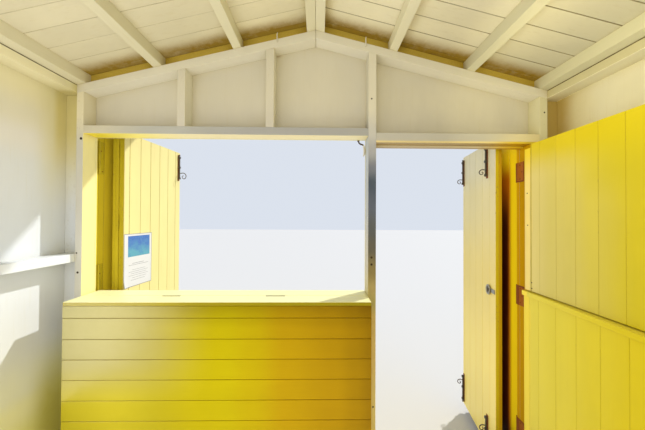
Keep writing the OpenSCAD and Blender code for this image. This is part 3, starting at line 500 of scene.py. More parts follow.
# ---------------------------------------------------------------- mesh building
class Piece:
    """Gathers solids in hut-local millimetres, and makes one mesh object of them."""

    def __init__(self, name, *mats):
        self.name, self.mats = name, list(mats)
        self.v, self.f, self.m, self.s = [], [], [], []
        self.g, self.t, self.h = [], [], []

    def add(self, verts, faces, gco, tone, hw, mat=0, smooth=False):
        """verts in hut-local mm; gco(p) gives (along, across from the middle, depth) in mm; mat is an index or a function of
        a face's centre and normal."""
        o = len(self.v)
        self.v += [Vector(p) for p in verts]
        for p in verts:
            self.g.append(gco(p))
        self.t += [tone] * len(verts)
        self.h += [hw] * len(verts)
        for f in faces:
            self.f.append([i + o for i in f])
            if callable(mat):
                pts = [Vector(verts[i]) for i in f]
                c = sum(pts, Vector()) / len(pts)
                n = Vector()
                for i in range(len(pts)):
                    n += (pts[i] - pts[0]).cross(pts[(i + 1) % len(pts)] - pts[0])
                self.m.append(mat(c, n.normalized()))
            else:
                self.m.append(mat)
            self.s.append(smooth)

    def solid(self, verts, faces, axes, bevel=1.2, segs=2, mat=0, tone=None, cuts=()):
        """A flat-sided solid with rounded arrises. axes is (along, across, depth) as unit vectors."""
        bm = bmesh.new()
        vs = [bm.verts.new(p) for p in verts]
        for f in faces:
            bm.faces.new([vs[i] for i in f])
        self._bm(bm, axes, bevel, segs, mat, tone, cuts)

    def _bm(self, bm, axes, bevel, segs, mat, tone, cuts=()):
        bmesh.ops.recalc_face_normals(bm, faces=bm.faces)
        for co, no in cuts:
            bmesh.ops.bisect_plane(bm, geom=bm.verts[:] + bm.edges[:] + bm.faces[:], dist=0.001, plane_co=co, plane_no=no)
        if bevel > 0:
            es = [e for e in bm.edges if len(e.link_faces) == 2 and e.calc_face_angle(0.0) > 0.35]
            bmesh.ops.bevel(bm, geom=es, offset=bevel, offset_type="OFFSET", segments=segs, profile=0.5, affect="EDGES", clamp_overlap=True)
        bm.verts.ensure_lookup_table()
        bm.verts.index_update()
        co = [v.co.copy() for v in bm.verts]
        a, c, d = axes
        mid = sum(co, Vector()) / len(co)
        cs = [p.dot(c) for p in co]
        cm, hw = (min(cs) + max(cs)) / 2, (max(cs) - min(cs)) / 2
        off = mid.dot(d)
        self.add(co, [[v.index for v in f.verts] for f in bm.faces], lambda p: (Vector(p).dot(a), Vector(p).dot(c) - cm, Vector(p).dot(d) - off),
                 RND.random() if tone is None else tone, hw, mat)
        bm.free()

    def box(self, x0, x1, y0, y1, z0, z1, axis="x", bevel=1.2, segs=2, mat=0, tone=None, cuts=()):
        c = [V(x, y, z) for x in (x0, x1) for y in (y0, y1) for z in (z0, z1)]
        f = [(0, 1, 3, 2), (4, 6, 7, 5), (0, 4, 5, 1), (2, 3, 7, 6), (0, 2, 6, 4), (1, 5, 7, 3)]
        ax = {"x": (V(1, 0, 0), V(0, 0, 1), V(0, 1, 0)), "y": (V(0, 1, 0), V(1, 0, 0), V(0, 0, 1)), "z": (V(0, 0, 1), V(1, 0, 0), V(0, 1, 0)),
              "xy": (V(1, 0, 0), V(0, 1, 0), V(0, 0, 1)), "zy": (V(0, 0, 1), V(0, 1, 0), V(1, 0, 0)), "yz": (V(0, 1, 0), V(0, 0, 1), V(1, 0, 0))}[axis]
        self.solid(c, f, ax, bevel, segs, mat, tone, cuts)

    def obox(self, o, ex, ey, ez, bevel=0.6, segs=1, mat=0, tone=None, axes=None):
        """A box from corner o along three edge vectors."""
        c = [o + ex * i + ey * j + ez * k for i in (0, 1) for j in (0, 1) for k in (0, 1)]
        f = [(0, 1, 3, 2), (4, 6, 7, 5), (0, 4, 5, 1), (2, 3, 7, 6), (0, 2, 6, 4), (1, 5, 7, 3)]
        self.solid(c, f, axes or (ez.normalized(), ex.normalized(), ey.normalized()), bevel, segs, mat, tone)

    def board(self, o, u, w, d, u0, u1, w0, w1, t, chamfer=2.2, gap=0.3, tongue=True, groove=True, mat=0, tone=None, back=0.6, step=0.0):
        """A tongued board. o is a point on the visible face's plane; u runs across the boards, w along, d into the board.
        w0 and w1 are numbers or functions of u."""
        tm = t / 2
        tone = RND.random() if tone is None else tone
        a, b = u0 + gap, u1 - gap
        c = chamfer
        prof = [(a, c), (a + c, 0), (b - c, 0), (b, c)]
        if tongue:
            prof += [(b, tm - 1.5), (b + 2 * gap + 3, tm - 1.2), (b + 2 * gap + 3, tm + 1.2), (b, tm + 1.5)]
        prof += [(b, t - back), (b - back, t), (a + back, t), (a, t - back)]
        if groove:
            prof += [(a, tm + 1.9), (a + 4.5, tm + 1.7), (a + 4.5, tm - 1.7), (a, tm - 1.9)]
        f0 = w0 if callable(w0) else (lambda x: w0)
        f1 = w1 if callable(w1) else (lambda x: w1)
        n = len(prof)
        vs = [o + u * p + d * (q + step) + w * f0(p) for p, q in prof] + [o + u * p + d * (q + step) + w * f1(p) for p, q in prof]
        fs = [[i, (i + 1) % n, n + (i + 1) % n, n + i] for i in range(n)] + [list(range(n))[::-1], list(range(n, 2 * n))]
        if u.cross(d).dot(w) < 0:
            fs = [f[::-1] for f in fs]
        mid, hw = (u0 + u1) / 2, (u1 - u0) / 2
        wl = w.length
        wn = w / (wl * wl)
        self.add(vs, fs, lambda p: ((Vector(p) - o).dot(wn) * wl, (Vector(p) - o).dot(u) - mid, (Vector(p) - o).dot(d)), tone, hw, mat)

    def boards(self, o, u, w, d, joints, w0, w1, t, **k):
        n = len(joints) - 1
        for i in range(n):
            self.board(o, u, w, d, joints[i], joints[i + 1], w0, w1, t, tongue=i < n - 1, groove=i > 0,
                       step=RND.uniform(0.0, 0.5) if k.get("uneven", True) else 0.0, **{a: b for a, b in k.items() if a != "uneven"})

    def rod(self, pts, r, sides=10, mat=0, caps=True, closed=False):
        """A round bar of radius r through pts, smooth shaded."""
        pts = [Vector(p) for p in pts]
        n = len(pts)
        rings, verts = [], []
        up = None
        for i, p in enumerate(pts):
            if closed:
                t = pts[(i + 1) % n] - pts[i - 1]
            else:
                t = pts[min(i + 1, n - 1)] - pts[max(i - 1, 0)]
            t.normalize()
            if up is None:
                up = t.orthogonal().normalized()
            up = (up - t * up.dot(t)).normalized()
            side = t.cross(up)
            rings.append([len(verts) + k for k in range(sides)])
            rr = r[i] if isinstance(r, (list, tuple)) else r
            verts += [p + (up * math.cos(2 * math.pi * k / sides) + side * math.sin(2 * math.pi * k / sides)) * rr for k in range(sides)]
        faces = []
        for i in range(n if closed else n - 1):
            a, b = rings[i], rings[(i + 1) % n]
            for k in range(sides):
                faces.append([a[k], a[(k + 1) % sides], b[(k + 1) % sides], b[k]])
        if caps and not closed:
            faces.append(rings[0][::-1])
            faces.append(rings[-1])
        self.add(verts, faces, lambda p: (p[2], p[0], p[1]), RND.random(), 1000.0, mat, True)

    def disc(self, p, n, r, h, sides=14, mat=0, dome=0.35):
        """A screw or nail head: a low dome on a face at p with normal n."""
        p, n = Vector(p), Vector(n).normalized()
        self.rod([p - n * 0.2, p + n * h * 0.5, p + n * h * 0.85, p + n * h], [r, r, r * 0.8, r * dome], sides, mat)

    def make(self, body="hut", slot=None, nodes=()):
        me = bpy.data.meshes.new(self.name)
        me.from_pydata([((p.x) / 1000, (p.y + YO) / 1000, p.z / 1000) for p in self.v], [], self.f)
        for m in self.mats:
            me.materials.append(m)
        me.polygons.foreach_set("material_index", self.m)
        me.polygons.foreach_set("use_smooth", self.s)
        ga = me.attributes.new("gco", "FLOAT_VECTOR", "POINT")
        ga.data.foreach_set("vector", [x / 1000 for g in self.g for x in g])
        me.attributes.new("tone", "FLOAT", "POINT").data.foreach_set("value", self.t)
        me.attributes.new("hw", "FLOAT", "POINT").data.foreach_set("value", [h / 1000 for h in self.h])
        if any(self.s):
            me.set_sharp_from_angle(angle=math.radians(38))
        me.validate()
        me.update()
        ob = bpy.data.objects.new(self.name, me)
        bpy.context.scene.collection.objects.link(ob)
        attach(ob, body)
        if nodes:
            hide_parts(*nodes)
        return ob


def islands(node):
    """The separate solids of a CAD node, in hut-local mm, with flat faces whole."""
    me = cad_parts[node].data
    bm = bmesh.new()
    bm.from_mesh(me)
    bmesh.ops.remove_doubles(bm, verts=bm.verts, dist=1e-5)
    bmesh.ops.dissolve_limit(bm, angle_limit=0.002, verts=bm.verts, edges=bm.edges)
    for v in bm.verts:
        v.co = V(v.co.x * 1000, v.co.y * 1000 - YO, v.co.z * 1000)
    todo, out = set(bm.verts), []
    while todo:
        seed = todo.pop()
        grp, stack = {seed}, [seed]
        while stack:
            for e in stack.pop().link_edges:
                for x in e.verts:
                    if x not in grp:
                        grp.add(x)
                        stack.append(x)
        todo -= grp
        order = sorted(grp, key=lambda v: v.index)
        idx = {v: i for i, v in enumerate(order)}
        faces = {f for v in grp for f in v.link_faces}
        out.append(([v.co.copy() for v in order], [[idx[v] for v in f.verts] for f in faces]))
    bm.free()
    out.sort(key=lambda s: tuple(round(min(p[i] for p in s[0]), 2) for i in range(3)))
    return out


def timber(node, mats, slot, body="hut", bevel=1.5, segs=2, matfn=0, cuts=(), name=None):
    """The CAD node's own solids with their arrises rounded, and the grain along each one's longest edge."""
    P = Piece(name or "timber_" + node, *mats)
    for verts, faces in islands(node):
        best = Vector()
        for f in faces:
            for i in range(len(f)):
                e = verts[f[(i + 1) % len(f)]] - verts[f[i]]
                if e.length > best.length:
                    best = e
        a = best.normalized()
        h = V(0, 0, 1) if abs(a.z) < 0.7 else V(0, 1, 0)
        c = (h - a * h.dot(a)).normalized()
        P.solid(verts, faces, (a, c, a.cross(c)), bevel, segs, matfn, cuts=cuts)
    return P, (lambda: P.make(body, slot, (node,)))


def simple(node, mats, slot, **k):
    P, done = timber(node, mats, slot, **k)
    return done()


X, Y, Z = V(1, 0, 0), V(0, 1, 0), V(0, 0, 1)

make_camera()
make_lights()
make_floor()

# ---------------------------------------------------------------- framing: the CAD solids with worn arrises
for n in ("back_wall_studs", "back_wall_rails", "back_rafters", "front_lower_frame"):
    simple(n, [WHITE], "white_paint")
# the rafters' undersides take the lighter copy of the white: painted light
simple("front_rafters", [WHITE, LIT_WHITE], "white_paint", matfn=lambda c, n: 1 if n.z < -0.7 else 0)
for n in ("left_wall_studs", "left_wall_rails"):
    simple(n, [LWALL], "white_paint")
for n in ("right_wall_studs", "right_wall_rails"):
    simple(n, [RWALL], "white_paint")
# the gable studs' sides take the lighter copy of the white: painted light
simple("gable_studs", [GABLE, LIT_WHITE], "white_paint", matfn=lambda c, n: 1 if abs(n.x) > 0.7 else 0)
simple("door_stop", [STOP, DUNDER], "yellow_paint", matfn=lambda c, n: 1 if n.z < -0.7 else 0)
for n in ("eave_beams", "purlins", "ridge_beams"):
    simple(n, [PURLIN], "ceiling_paint")
for n in ("front_blocks", "back_blocks"):
    simple(n, [SHADED_BLOCKS], "ceiling_paint")
for n in ("bargeboards", "eave_fascias", "corner_trims"):
    simple(n, [WHITE], "white_paint", bevel=2.0)
simple("bearers", [BEARER], "floor_timber", bevel=2.5)
simple("threshold", [FLOOR], "floor_timber", bevel=3.0)


def reveal_faces(c, n):
    """The paint of a member's face that looks into the window (1) or the doorway (2), and 0 elsewhere."""
    if -305.5 < c.x < 1310 and 1100 < c.z < 2029 and (abs(n.x) > 0.7 or n.z < -0.7):
        return 1
    if c.x < -349 and c.z < 1992 and (abs(n.x) > 0.7 and -1249.5 < c.x or n.z < -0.7):
        return 2
    return 0


# faces that look into the openings take copies of the paint for painted light and shade: sunlit pale yellow, shaded
# orange, the post's shaded grey and the header undersides' paints
cuts = [(V(0, 0, z), Z) for z in (1091, 1991, 2028)]
simple("front_studs", [CSTUD, SUNLIT_PALE, SHADED_ORANGE], "white_paint", matfn=reveal_faces, cuts=cuts)
simple("middle_post", [SHADED_POST, SHADED_REVEAL_GREY, YELLOW], "white_paint", matfn=reveal_faces, cuts=cuts)
simple("window_header", [HEAD, HUNDER, HUNDER], "white_paint", matfn=reveal_faces)
simple("door_header", [DHEAD, DUNDER, DUNDER], "white_paint", matfn=reveal_faces, cuts=[(V(0, 0, 2002), Z)])
simple("door_casing", [YELLOW, SHADED_ORANGE], "yellow_paint", bevel=2.0, matfn=lambda c, n: 1 if abs(n.x) > 0.7 and -1250 < c.x < -348 else 0)

# ---------------------------------------------------------------- wall sheets: grooved outside, flat inside
def grooved(o, u, w, d, u0, u1, z0, z1, t, pitch=100.0, phase=0.0, breaks=(), P=None, ends=(0, 0)):
    """A sheet with V grooves every pitch along its outer face. z0 and z1 are numbers or functions of u, breaks are the
    places where z1 steps, and ends are the paints of its two upright edges."""
    f0 = z0 if callable(z0) else (lambda x: z0)
    f1 = z1 if callable(z1) else (lambda x: z1)
    us = {u0: 0.0, u1: 0.0}
    k = math.ceil((u0 - phase) / pitch)
    while phase + k * pitch < u1 - 6:
        g = phase + k * pitch
        if g > u0 + 6:
            us[g - 3.0] = 0.0
            us[g - 0.4] = 3.2
            us[g + 0.4] = 3.2
            us[g + 3.0] = 0.0
        k += 1
    if u0 < 0 < u1:
        us.setdefault(0.0, 0.0)
    for b in breaks:
        for e in (b - 0.01, b + 0.01):
            if u0 < e < u1:
                us[e] = 0.0
    prof = sorted(us.items())
    front_lo = [o + u * a + d * q + w * f0(a) for a, q in prof]
    front_hi = [o + u * a + d * q + w * f1(a) for a, q in prof]
    back_lo = [o + u * a + d * t + w * f0(a) for a, q in prof]
    back_hi = [o + u * a + d * t + w * f1(a) for a, q in prof]
    n = len(prof)
    vs = front_lo + front_hi + back_lo + back_hi
    fs = []
    for i in range(n - 1):
        j = i + 1
        fs += [[i, j, n + j, n + i], [2 * n + j, 2 * n + i, 3 * n + i, 3 * n + j], [n + i, n + j, 3 * n + j, 3 * n + i], [j, i, 2 * n + i, 2 * n + j]]
    fs += [[0, n, 3 * n, 2 * n], [n - 1, 3 * n - 1, 4 * n - 1, 2 * n - 1]]
    if u.cross(w).dot(d) > 0:
        fs = [f[::-1] for f in fs]
    P.add(vs, fs, lambda p: (Vector(p).dot(w), Vector(p).dot(u), Vector(p).dot(d)), RND.random(), 100000.0,
          lambda c, nn: 1 if nn.dot(d) > 0.7 else (ends[0] if nn.dot(u) < -0.9 else (ends[1] if nn.dot(u) > 0.9 else 0)))
    return P


def roofline(x):
    return cz(x) - 0.2


PURLINS = ((-1.0, 51.2), (426.3, 471.7), (876.3, 921.7), (1302.3, 1347.7))
STEPS = [s * e for lo, hi in PURLINS for e in (lo, hi) for s in (1, -1) if e > 0]


def notched(x):
    """The top of the front and back sheets, notched where the purlins run through."""
    return rz(x) - 0.1 if any(lo < abs(x) < hi for lo, hi in PURLINS) else roofline(x)


P = Piece("wall_sheet_back", LEMON, WHITE)
for a, b in ((-1449.5, -899.0), (-899.0, 0.0), (0.0, 899.0), (899.0, 1449.5)):
    grooved(V(0, 2400, 0), X, Z, -Y, a + (0 if a < -1449 else 0.3), b - (0 if b > 1449 else 0.3), 40, notched, 10, breaks=STEPS, P=P)
P.make("hut", "lemon_paint", ("back_wall_skin",))

P = Piece("wall_sheet_gable", LEMON, GABLE)
for a, b in ((-1449.5, -328.0), (-328.0, 262.0), (262.0, 1449.5)):
    grooved(V(0, 0, 0), X, Z, Y, a + (0 if a < -1449 else 0.2), b - (0 if b > 1449 else 0.2), 2028, notched, 10, breaks=STEPS, P=P)
P.box(-1247, -351, 0, 10, 1991, 2027, "x", 0.5, 1, 0)
P.make("hut", "lemon_paint", ("front_skin_gable",))

P = Piece("wall_sheet_sides", LEMON, WHITE, SUNLIT_PALE, SHADED_REVEAL_GREY, SHADED_ORANGE)
grooved(V(0, 0, 0), X, Z, Y, 1309.5, 1449.5, 1091, 2027.7, 10, P=P, ends=(2, 0))
grooved(V(0, 0, 0), X, Z, Y, -350, -305, 1091, 2027.7, 10, P=P, ends=(2, 3))
grooved(V(0, 0, 0), X, Z, Y, -1449.5, -1248, 40, 2027.7, 10, P=P, ends=(0, 4))
P.make("hut", "lemon_paint", ("front_skin_sides",))

P = Piece("wall_sheet_lower", LEMON, WHITE)
for a, b in ((-350, 262), (262, 1449.5)):
    grooved(V(0, 0, 0), X, Z, Y, a + (0 if a < -349 else 0.2), b - (0 if b > 1449 else 0.2), 40, 1090.7, 10, P=P)
P.make("hut", "lemon_paint", ("front_skin_lower",))

for s, side in ((1, "left"), (-1, "right")):
    P = Piece("wall_sheet_" + side, LEMON, LWALL if s > 0 else RWALL)
    for a, b in ((10, 1200), (1200, 2390)):
        grooved(V(s * 1449.5, 0, 0), Y, Z, V(-s, 0, 0), a + 0.2, b - 0.2, 40, roofline(1449.5), 10, P=P)
    P.make("hut", "lemon_paint", (side + "_wall_skin",))

# ---------------------------------------------------------------- floor boards
P = Piece("floor_boards", FLOOR)
y = 10.0
while y < 2390 - 1:
    e = min(y + 119, 2390)
    P.boards(V(0, 0, 95), Y, X, -Z, [y, e], -1439.5, 1439.5, 24.5, chamfer=1.2, gap=0.8)
    y = e
P.make("hut", "floor_timber", ("floor_deck",))

# ---------------------------------------------------------------- roof boards, felt
for s, side in ((1, "left"), (-1, "right")):
    P = Piece("roof_boards_" + side, CREAM_L if s > 0 else CREAM)
    js = [-335.0] + [-306.0 + 98 * k for k in range(29)] + [2550.0]
    w = V(s * 1540, 0, -PITCH * 1540)
    n = len(js) - 1
    for i in range(n):
        wide = RND.random()
        P.board(V(0, 0, CEIL), Y, w, Z, js[i], js[i + 1], 0.0003, 1.0, 16.0, chamfer=(1.6 if wide < 0.5 else 2.4) * (0.6 if s > 0 else 1.0),
                gap=(0.25 if wide < 0.45 else (0.7 if wide < 0.85 else 1.2)) * (0.5 if s > 0 else 1.0), tongue=i < n - 1, groove=i > 0, step=RND.uniform(0, 0.4))
    P.make("hut", "ceiling_paint", ("roof_deck_" + side,))
    # felt: two strips, the upper lapped over the one below, with clout nails
    P = Piece("felt_" + side, FELT, ZINC)

    def strip(x0, x1, lift, y0, y1):
        nx, ny = 14, 60
        top, bot = [], []
        for i in range(nx + 1):
            for j in range(ny + 1):
                x = x0 + (x1 - x0) * i / nx
                yy = y0 + (y1 - y0) * j / ny
                e = min(1.0, min(x - x0 + 1, x1 - x + 1, 60) / 60)
                wob = 0.22 * math.sin(yy / 131.0 + x / 90.0) + 0.16 * math.sin(yy / 47.0 - x / 60.0)
                zb = CEIL + 16.7 - PITCH * x + lift
                top.append(V(s * x, yy, zb + 1.0 + 0.25 * wob * e))
                bot.append(V(s * x, yy, zb))
        m = (nx + 1) * (ny + 1)
        at = lambda i, j: i * (ny + 1) + j
        fs = []
        for i in range(nx):
            for j in range(ny):
                q = [at(i, j), at(i, j + 1), at(i + 1, j + 1), at(i + 1, j)]
                fs += [q[::-1], [k + m for k in q]]
        for i in range(nx):
            fs += [[at(i, 0), at(i + 1, 0), m + at(i + 1, 0), m + at(i, 0)][::-1], [at(i, ny), at(i + 1, ny), m + at(i + 1, ny), m + at(i, ny)]]
        for j in range(ny):
            fs += [[at(0, j), at(0, j + 1), m + at(0, j + 1), m + at(0, j)], [at(nx, j), at(nx, j + 1), m + at(nx, j + 1), m + at(nx, j)][::-1]]
        if s > 0:
            fs = [f[::-1] for f in fs]
        P.add(top + bot, fs, lambda p: (p[1], p[0], p[2]), RND.random(), 1000.0, 0)

    strip(700, 1540, 0.0, -335, 2550)
    strip(0.3, 790, 1.15, -335, 2550)
    for k in range(38):
        yy = -310 + k * 75
        for x, lift in ((1515, 1.0), (768, 2.15), (25, 2.15)):
            xx = x + RND.uniform(-3, 3)
            P.disc(V(s * xx, yy + RND.uniform(-6, 6), CEIL + 16.7 - PITCH * xx + lift), V(s * PITCH, 0, 1), 4.5, 0.5, 8, 1, 0.7)
    P.make("hut", "roofing_felt", ("roof_felt_" + side,))

# ---------------------------------------------------------------- window sill and counter
# the sill takes the paler sunlit copies of the yellow: painted light
simple("window_sill", [SUNLIT_PALE, SUNLIT_TOP], "yellow_paint", bevel=3.0, matfn=lambda c, n: 1 if n.z > 0.5 else 0)
P = Piece("counter_top", EDGE, SUNLIT_TOP, DARK_MARK_AND_SHADE)
# the shelf board, notched along its joint with the sill at two places
out = [(-304, 80.3), (169, 80.3), (169, 91), (277, 91), (277, 80.3), (759, 80.3), (759, 91), (861, 91), (861, 80.3), (1309, 80.3), (1309, 190), (-304, 190)]
n = len(out)
P.solid([V(x, y, 1091) for x, y in out] + [V(x, y, 1111) for x, y in out],
        [[i, (i + 1) % n, n + (i + 1) % n, n + i] for i in range(n)] + [list(range(n))[::-1], list(range(n, 2 * n))], (X, Y, Z), 2.0, 2,
        lambda c, n: 1 if n.z > 0.3 or n.y < -0.3 else 0, 0.3)
# dark boxes fill the notches' depths and stand in for their shade
for a, b in ((169.5, 276.5), (759.5, 860.5)):
    P.box(a, b, 80.3, 90.6, 1091, 1110.2, "xy", 0.3, 1, 2, 0.3)
P.make("hut", "yellow_paint", ("counter_shelf",))

P = Piece("counter_boards", COUNTER)
js = [95, 174, 280, 386, 492, 598, 705, 811, 917, 1027, 1091]
P.boards(V(0, 190, 0), Z, X, -Y, js, -304, 1309, 18, chamfer=2.6, gap=0.35, uneven=False)
P.make("hut", "yellow_paint", ("counter_front",))
simple("counter_ends", [COUNTER], "yellow_paint", bevel=1.2)


# ---------------------------------------------------------------- leaves
def leaf_axes(xn, yn, xf, yf, side):
    """Along the leaf, and into its thickness (side 1 towards +X, -1 towards -X)."""
    u = V(xf - xn, yf - yn, 0)
    L = u.length
    u.normalize()
    d = V(-u.y, u.x, 0) * side
    return u, d, L


def leaf(name, xn, yn, xf, yf, side, t, z0, z1, joints, node, face, edge, tb, phase_mat=None, rails=(70, 70), mid=True, body="hut"):
    """A boarded leaf: boards on the visible face, and a frame of stiles and rails behind them."""
    u, d, L = leaf_axes(xn, yn, xf, yf, side)
    o = V(xn, yn, 0)
    P = Piece(name, face, edge)
    fm = lambda c, n: 0 if n.dot(d) < -0.3 else 1
    js = [0.0] + [j for j in joints if 8 < j < L - 8] + [L]
    P.boards(o, u, Z, d, js, z0, z1, tb, chamfer=1.9, gap=0.25, mat=fm)
    # frame behind the boards
    b0, b1 = tb + 0.6, t
    for a, b in ((0.5, 70), (L - 70, L - 0.5)):
        P.obox(o + u * a + d * b0 + Z * (z0 + 0.5), u * (b - a), d * (b1 - b0), Z * (z1 - z0 - 1), 1.2, 1, 1)
    zs = [(z0 + 0.5, z0 + rails[0]), (z1 - rails[1], z1 - 0.5)]
    if mid:
        m = (z0 + z1) / 2
        zs.append((m - 40, m + 40))
    for a, b in zs:
        P.obox(o + u * 70.4 + d * b0 + Z * a, u * (L - 140.8), d * (b1 - b0), Z * (b - a), 1.2, 1, 1,
               axes=(u, Z, d))
    P.make(body, "lemon_paint" if face in (LEMON, LEMON2) else "yellow_paint", (node,))
    return o, u, d, L


SZ0, SZ1 = 930, 2100
sj = [40.6 + 87.2 * k for k in range(7)]
s1 = leaf("shutter_leaf_1", 1329, -32, 1329, -631, 1, 35, SZ0, SZ1, sj, "window_shutter_1", SHADED_SHUTTER_YELLOW, YELLOW, 16)
s2 = leaf("shutter_leaf_2", 1260.5, -98, 1290, -98 - 0.997 * 533, 1, 35, SZ0, SZ1, sj, "window_shutter_2", YELLOW, YELLOW, 16)
s3 = leaf("shutter_leaf_3", 1224, -98, 1168.3, -98 - 0.994 * 533, 1, 35, SZ0, SZ1, sj, "window_shutter_3", LEMON, YELLOW, 16)
simple("shutter_batten", [YELLOW], "yellow_paint", bevel=2.0)
o1 = leaf("outer_leaf_1", -1262, -12.5, -1262, -512, -1, 38, 60, 2052, [98 * k + 72 for k in range(6)], "outer_door_1", DEEP, YELLOW, 18)
o2 = leaf("outer_leaf_2", -1125, -26, -1206.5, -506, -1, 38, 60, 2052, [98 * k + 69 for k in range(6)], "outer_door_2", LEMON2, DEEP, 18)

# ---------------------------------------------------------------- stable door: drawn shut, then swung open
PX, PY = -1246.5, 98.0


def swung(P, deg):
    r = Matrix.Rotation(math.radians(deg), 3, "Z")
    piv = V(PX, PY, 0)
    P.v = [piv + r @ (p - piv) for p in P.v]
    return P


DX0, DX1 = PX + 5.5, -358.0
UP, LO = 89.0, 87.0
out_face = lambda c, n: 0
# upper leaf: joints measured from the hinge line
P = Piece("upper_leaf_planks", UPYEL)
us = [103.1, 195.8, 289.3, 383.1, 477.0, 570.8, 664.6, 758.4, 852.0]
P.boards(V(PX, 52, 0), X, Z, Y, [45.9] + us + [DX1 - PX], 1156, 1972, 18, chamfer=1.1, gap=0.12)
P.board(V(PX, 52, 0), X, Z, Y, 5.5, 45.6, 1156, 1952, 18, chamfer=1.8, gap=0.3, tongue=False, groove=False)
swung(P, UP).make("upper_leaf", "yellow_paint", ("upper_leaf_boards",))
P = Piece("lower_leaf_planks", LOYEL)
ls = [43.2, 104.3, 204.3, 305.6, 405.5, 504.5, 604.0, 704.0, 804.0]
P.boards(V(PX, 48, 0), X, Z, Y, [5.5] + ls + [DX1 - PX], 103, 1124, 21.5, chamfer=1.1, gap=0.12)
swung(P, LO).make("lower_leaf", "yellow_paint", ("lower_leaf_boards",))
simple("upper_leaf_ledges", [UPYEL], "yellow_paint", body="upper_leaf", bevel=2.5)
simple("lower_leaf_ledges", [LOYEL], "yellow_paint", body="lower_leaf", bevel=2.5)
# the cap's top takes the brighter yellow: painted light
simple("lower_leaf_cap", [LOYEL, CAP_TOP_LIGHT], "yellow_paint", body="lower_leaf", bevel=2.0, matfn=lambda c, n: 1 if n.z > 0.5 else 0)


# ---------------------------------------------------------------- ironwork
def hinge_screws(P, pts, n, r=3.6, h=1.0, mat=0):
    for p in pts:
        P.disc(p, n, r, h, 12, mat)


def t_strap(P, z):
    """The moving half of a T hinge, drawn for a shut leaf: a tapered strap with screws, and its knuckle."""
    y0, y1 = 90.0, 93.0
    pts = [(0.0, 14.0), (60.0, 13.5), (270.0, 9.0), (292.0, 11.0), (300.0, 6.0)]
    prof = [(PX + a, z + b) for a, b in pts] + [(PX + a, z - b) for a, b in pts[::-1]]
    n = len(prof)
    vs = [V(a, y0 + 0.1, b) for a, b in prof] + [V(a, y1, b) for a, b in prof]
    fs = [[i, (i + 1) % n, n + (i + 1) % n, n + i] for i in range(n)] + [list(range(n))[::-1], list(range(n, 2 * n))]
    P.solid(vs, fs, (X, Z, Y), 0.6, 1)
    P.rod([V(PX, PY, z - 14), V(PX, PY, z + 14)], 6.0, 20)
    hinge_screws(P, [V(PX + a, y1, z) for a in (30, 95, 170, 245)], Y)


def strap_z(z0, z1):
    return (z0 + 60, z1 - 90)


for name, body, z0, z1, ang in (("upper_leaf_straps", "upper_leaf", 1156, 1972, UP), ("lower_leaf_straps", "lower_leaf", 103, 1150, LO)):
    P = Piece("iron_" + name, RUST)
    for z in strap_z(z0, z1):
        t_strap(P, z)
    swung(P, ang).make(body, "rusty_iron", (name,))

P = Piece("iron_hinge_plates", RUST)
for z in strap_z(1156, 1972) + strap_z(103, 1150):
    P.box(-1290, -1251, 90.1, 93, z - 50, z + 50, "z", 1.0, 2)
    hinge_screws(P, [V(-1281, 93, z - 38), V(-1281, 93, z + 38), V(-1262, 93, z - 38), V(-1262, 93, z + 38), V(-1281, 93, z)], Y)
    for d0 in (-50, 15):
        P.rod([V(PX, PY, z + d0), V(PX, PY, z + d0 + 35)], 6.0, 20)
    P.rod([V(PX, PY, z + 50), V(PX, PY, z + 53)], [5.0, 3.0], 16)
P.make("hut", "rusty_iron", ("hinge_plates",))

# outer door butt hinges on the reveal
P = Piece("iron_outer_hinges", RUST, HPLATE)
for z in (220, 1030, 1780):
    P.box(-1248, -1246.2, -12, 44, z, z + 120, "z", 0.6, 2, 1)
    if z == 1780:
        rims = [(-12, -4, z, z + 120), (-3.9, 38.9, z, z + 7), (39, 44, z, z + 120)]
    else:
        rims = [(-12, 8, z, z + 120), (8.1, 44, z + 111, z + 120)]
    for y0, y1, z0, z1 in rims:
        P.box(-1246.4, -1245.9, y0, y1, z0, z1, "z", 0.15, 1)
    for i, dz in enumerate((18, 60, 102)):
        hinge_screws(P, [V(-1246.2, 16 + 14 * (i % 2), z + dz)], X, 4.5, 0.5)
    for k in range(5):
        P.rod([V(-1253, -17.2, z + 24 * k + 0.6), V(-1253, -17.2, z + 24 * k + 23.4)], 4.5, 16)
P.make("hut", "rusty_iron", ("outer_door_hinges",))

# shutter hinges, painted over
P = Piece("painted_shutter_hinges", YELLOW, RUST)
for z in (1064, 1820):
    for y0, y1 in ((-68, -37.4), (-26.6, -6)):
        P.box(1326.6, 1329, y0, y1, z, z + 200, "z", 0.8, 2)
    for i, dz in enumerate((16, 58, 100, 142, 184)):
        P.disc(V(1326.6, -56 + 9 * (i % 2), z + dz), -X, 3.6, 0.9, 12, 1 if i in (0, 3) else 0)
        P.disc(V(1326.6, -16, z + dz), -X, 3.6, 0.9, 12)
    for k in range(5):
        P.rod([V(1324, -32, z + 40 * k + 0.5), V(1324, -32, z + 40 * k + 39.5)], 4.9, 18)
P.make("hut", "yellow_paint", ("window_shutter_hinges",))


def fold_hinge(P, p, u, d, z, h=100, r=5.0, w=26.0):
    """A butt hinge between two folded leaves: its barrels at p."""
    k = 5
    for i in range(k):
        P.rod([p + Z * (z + i * h / k + 0.4), p + Z * (z + (i + 1) * h / k - 0.4)], r, 14)


P = Piece("iron_fold_hinges", RUST)
for z in (250, 1010, 1770):
    fold_hinge(P, V(-1253, -506.5, 0), X, Y, z)
P.make("hut", "rusty_iron")
P = Piece("painted_fold_hinges", YELLOW)
for z in (1010, 1480, 1930):
    fold_hinge(P, V(1327, -628, 0), X, Y, z, 90, 2.2)
    fold_hinge(P, V(1259.6, -96.0, 0), X, Y, z, 90, 3.0)
P.make("hut", "yellow_paint")


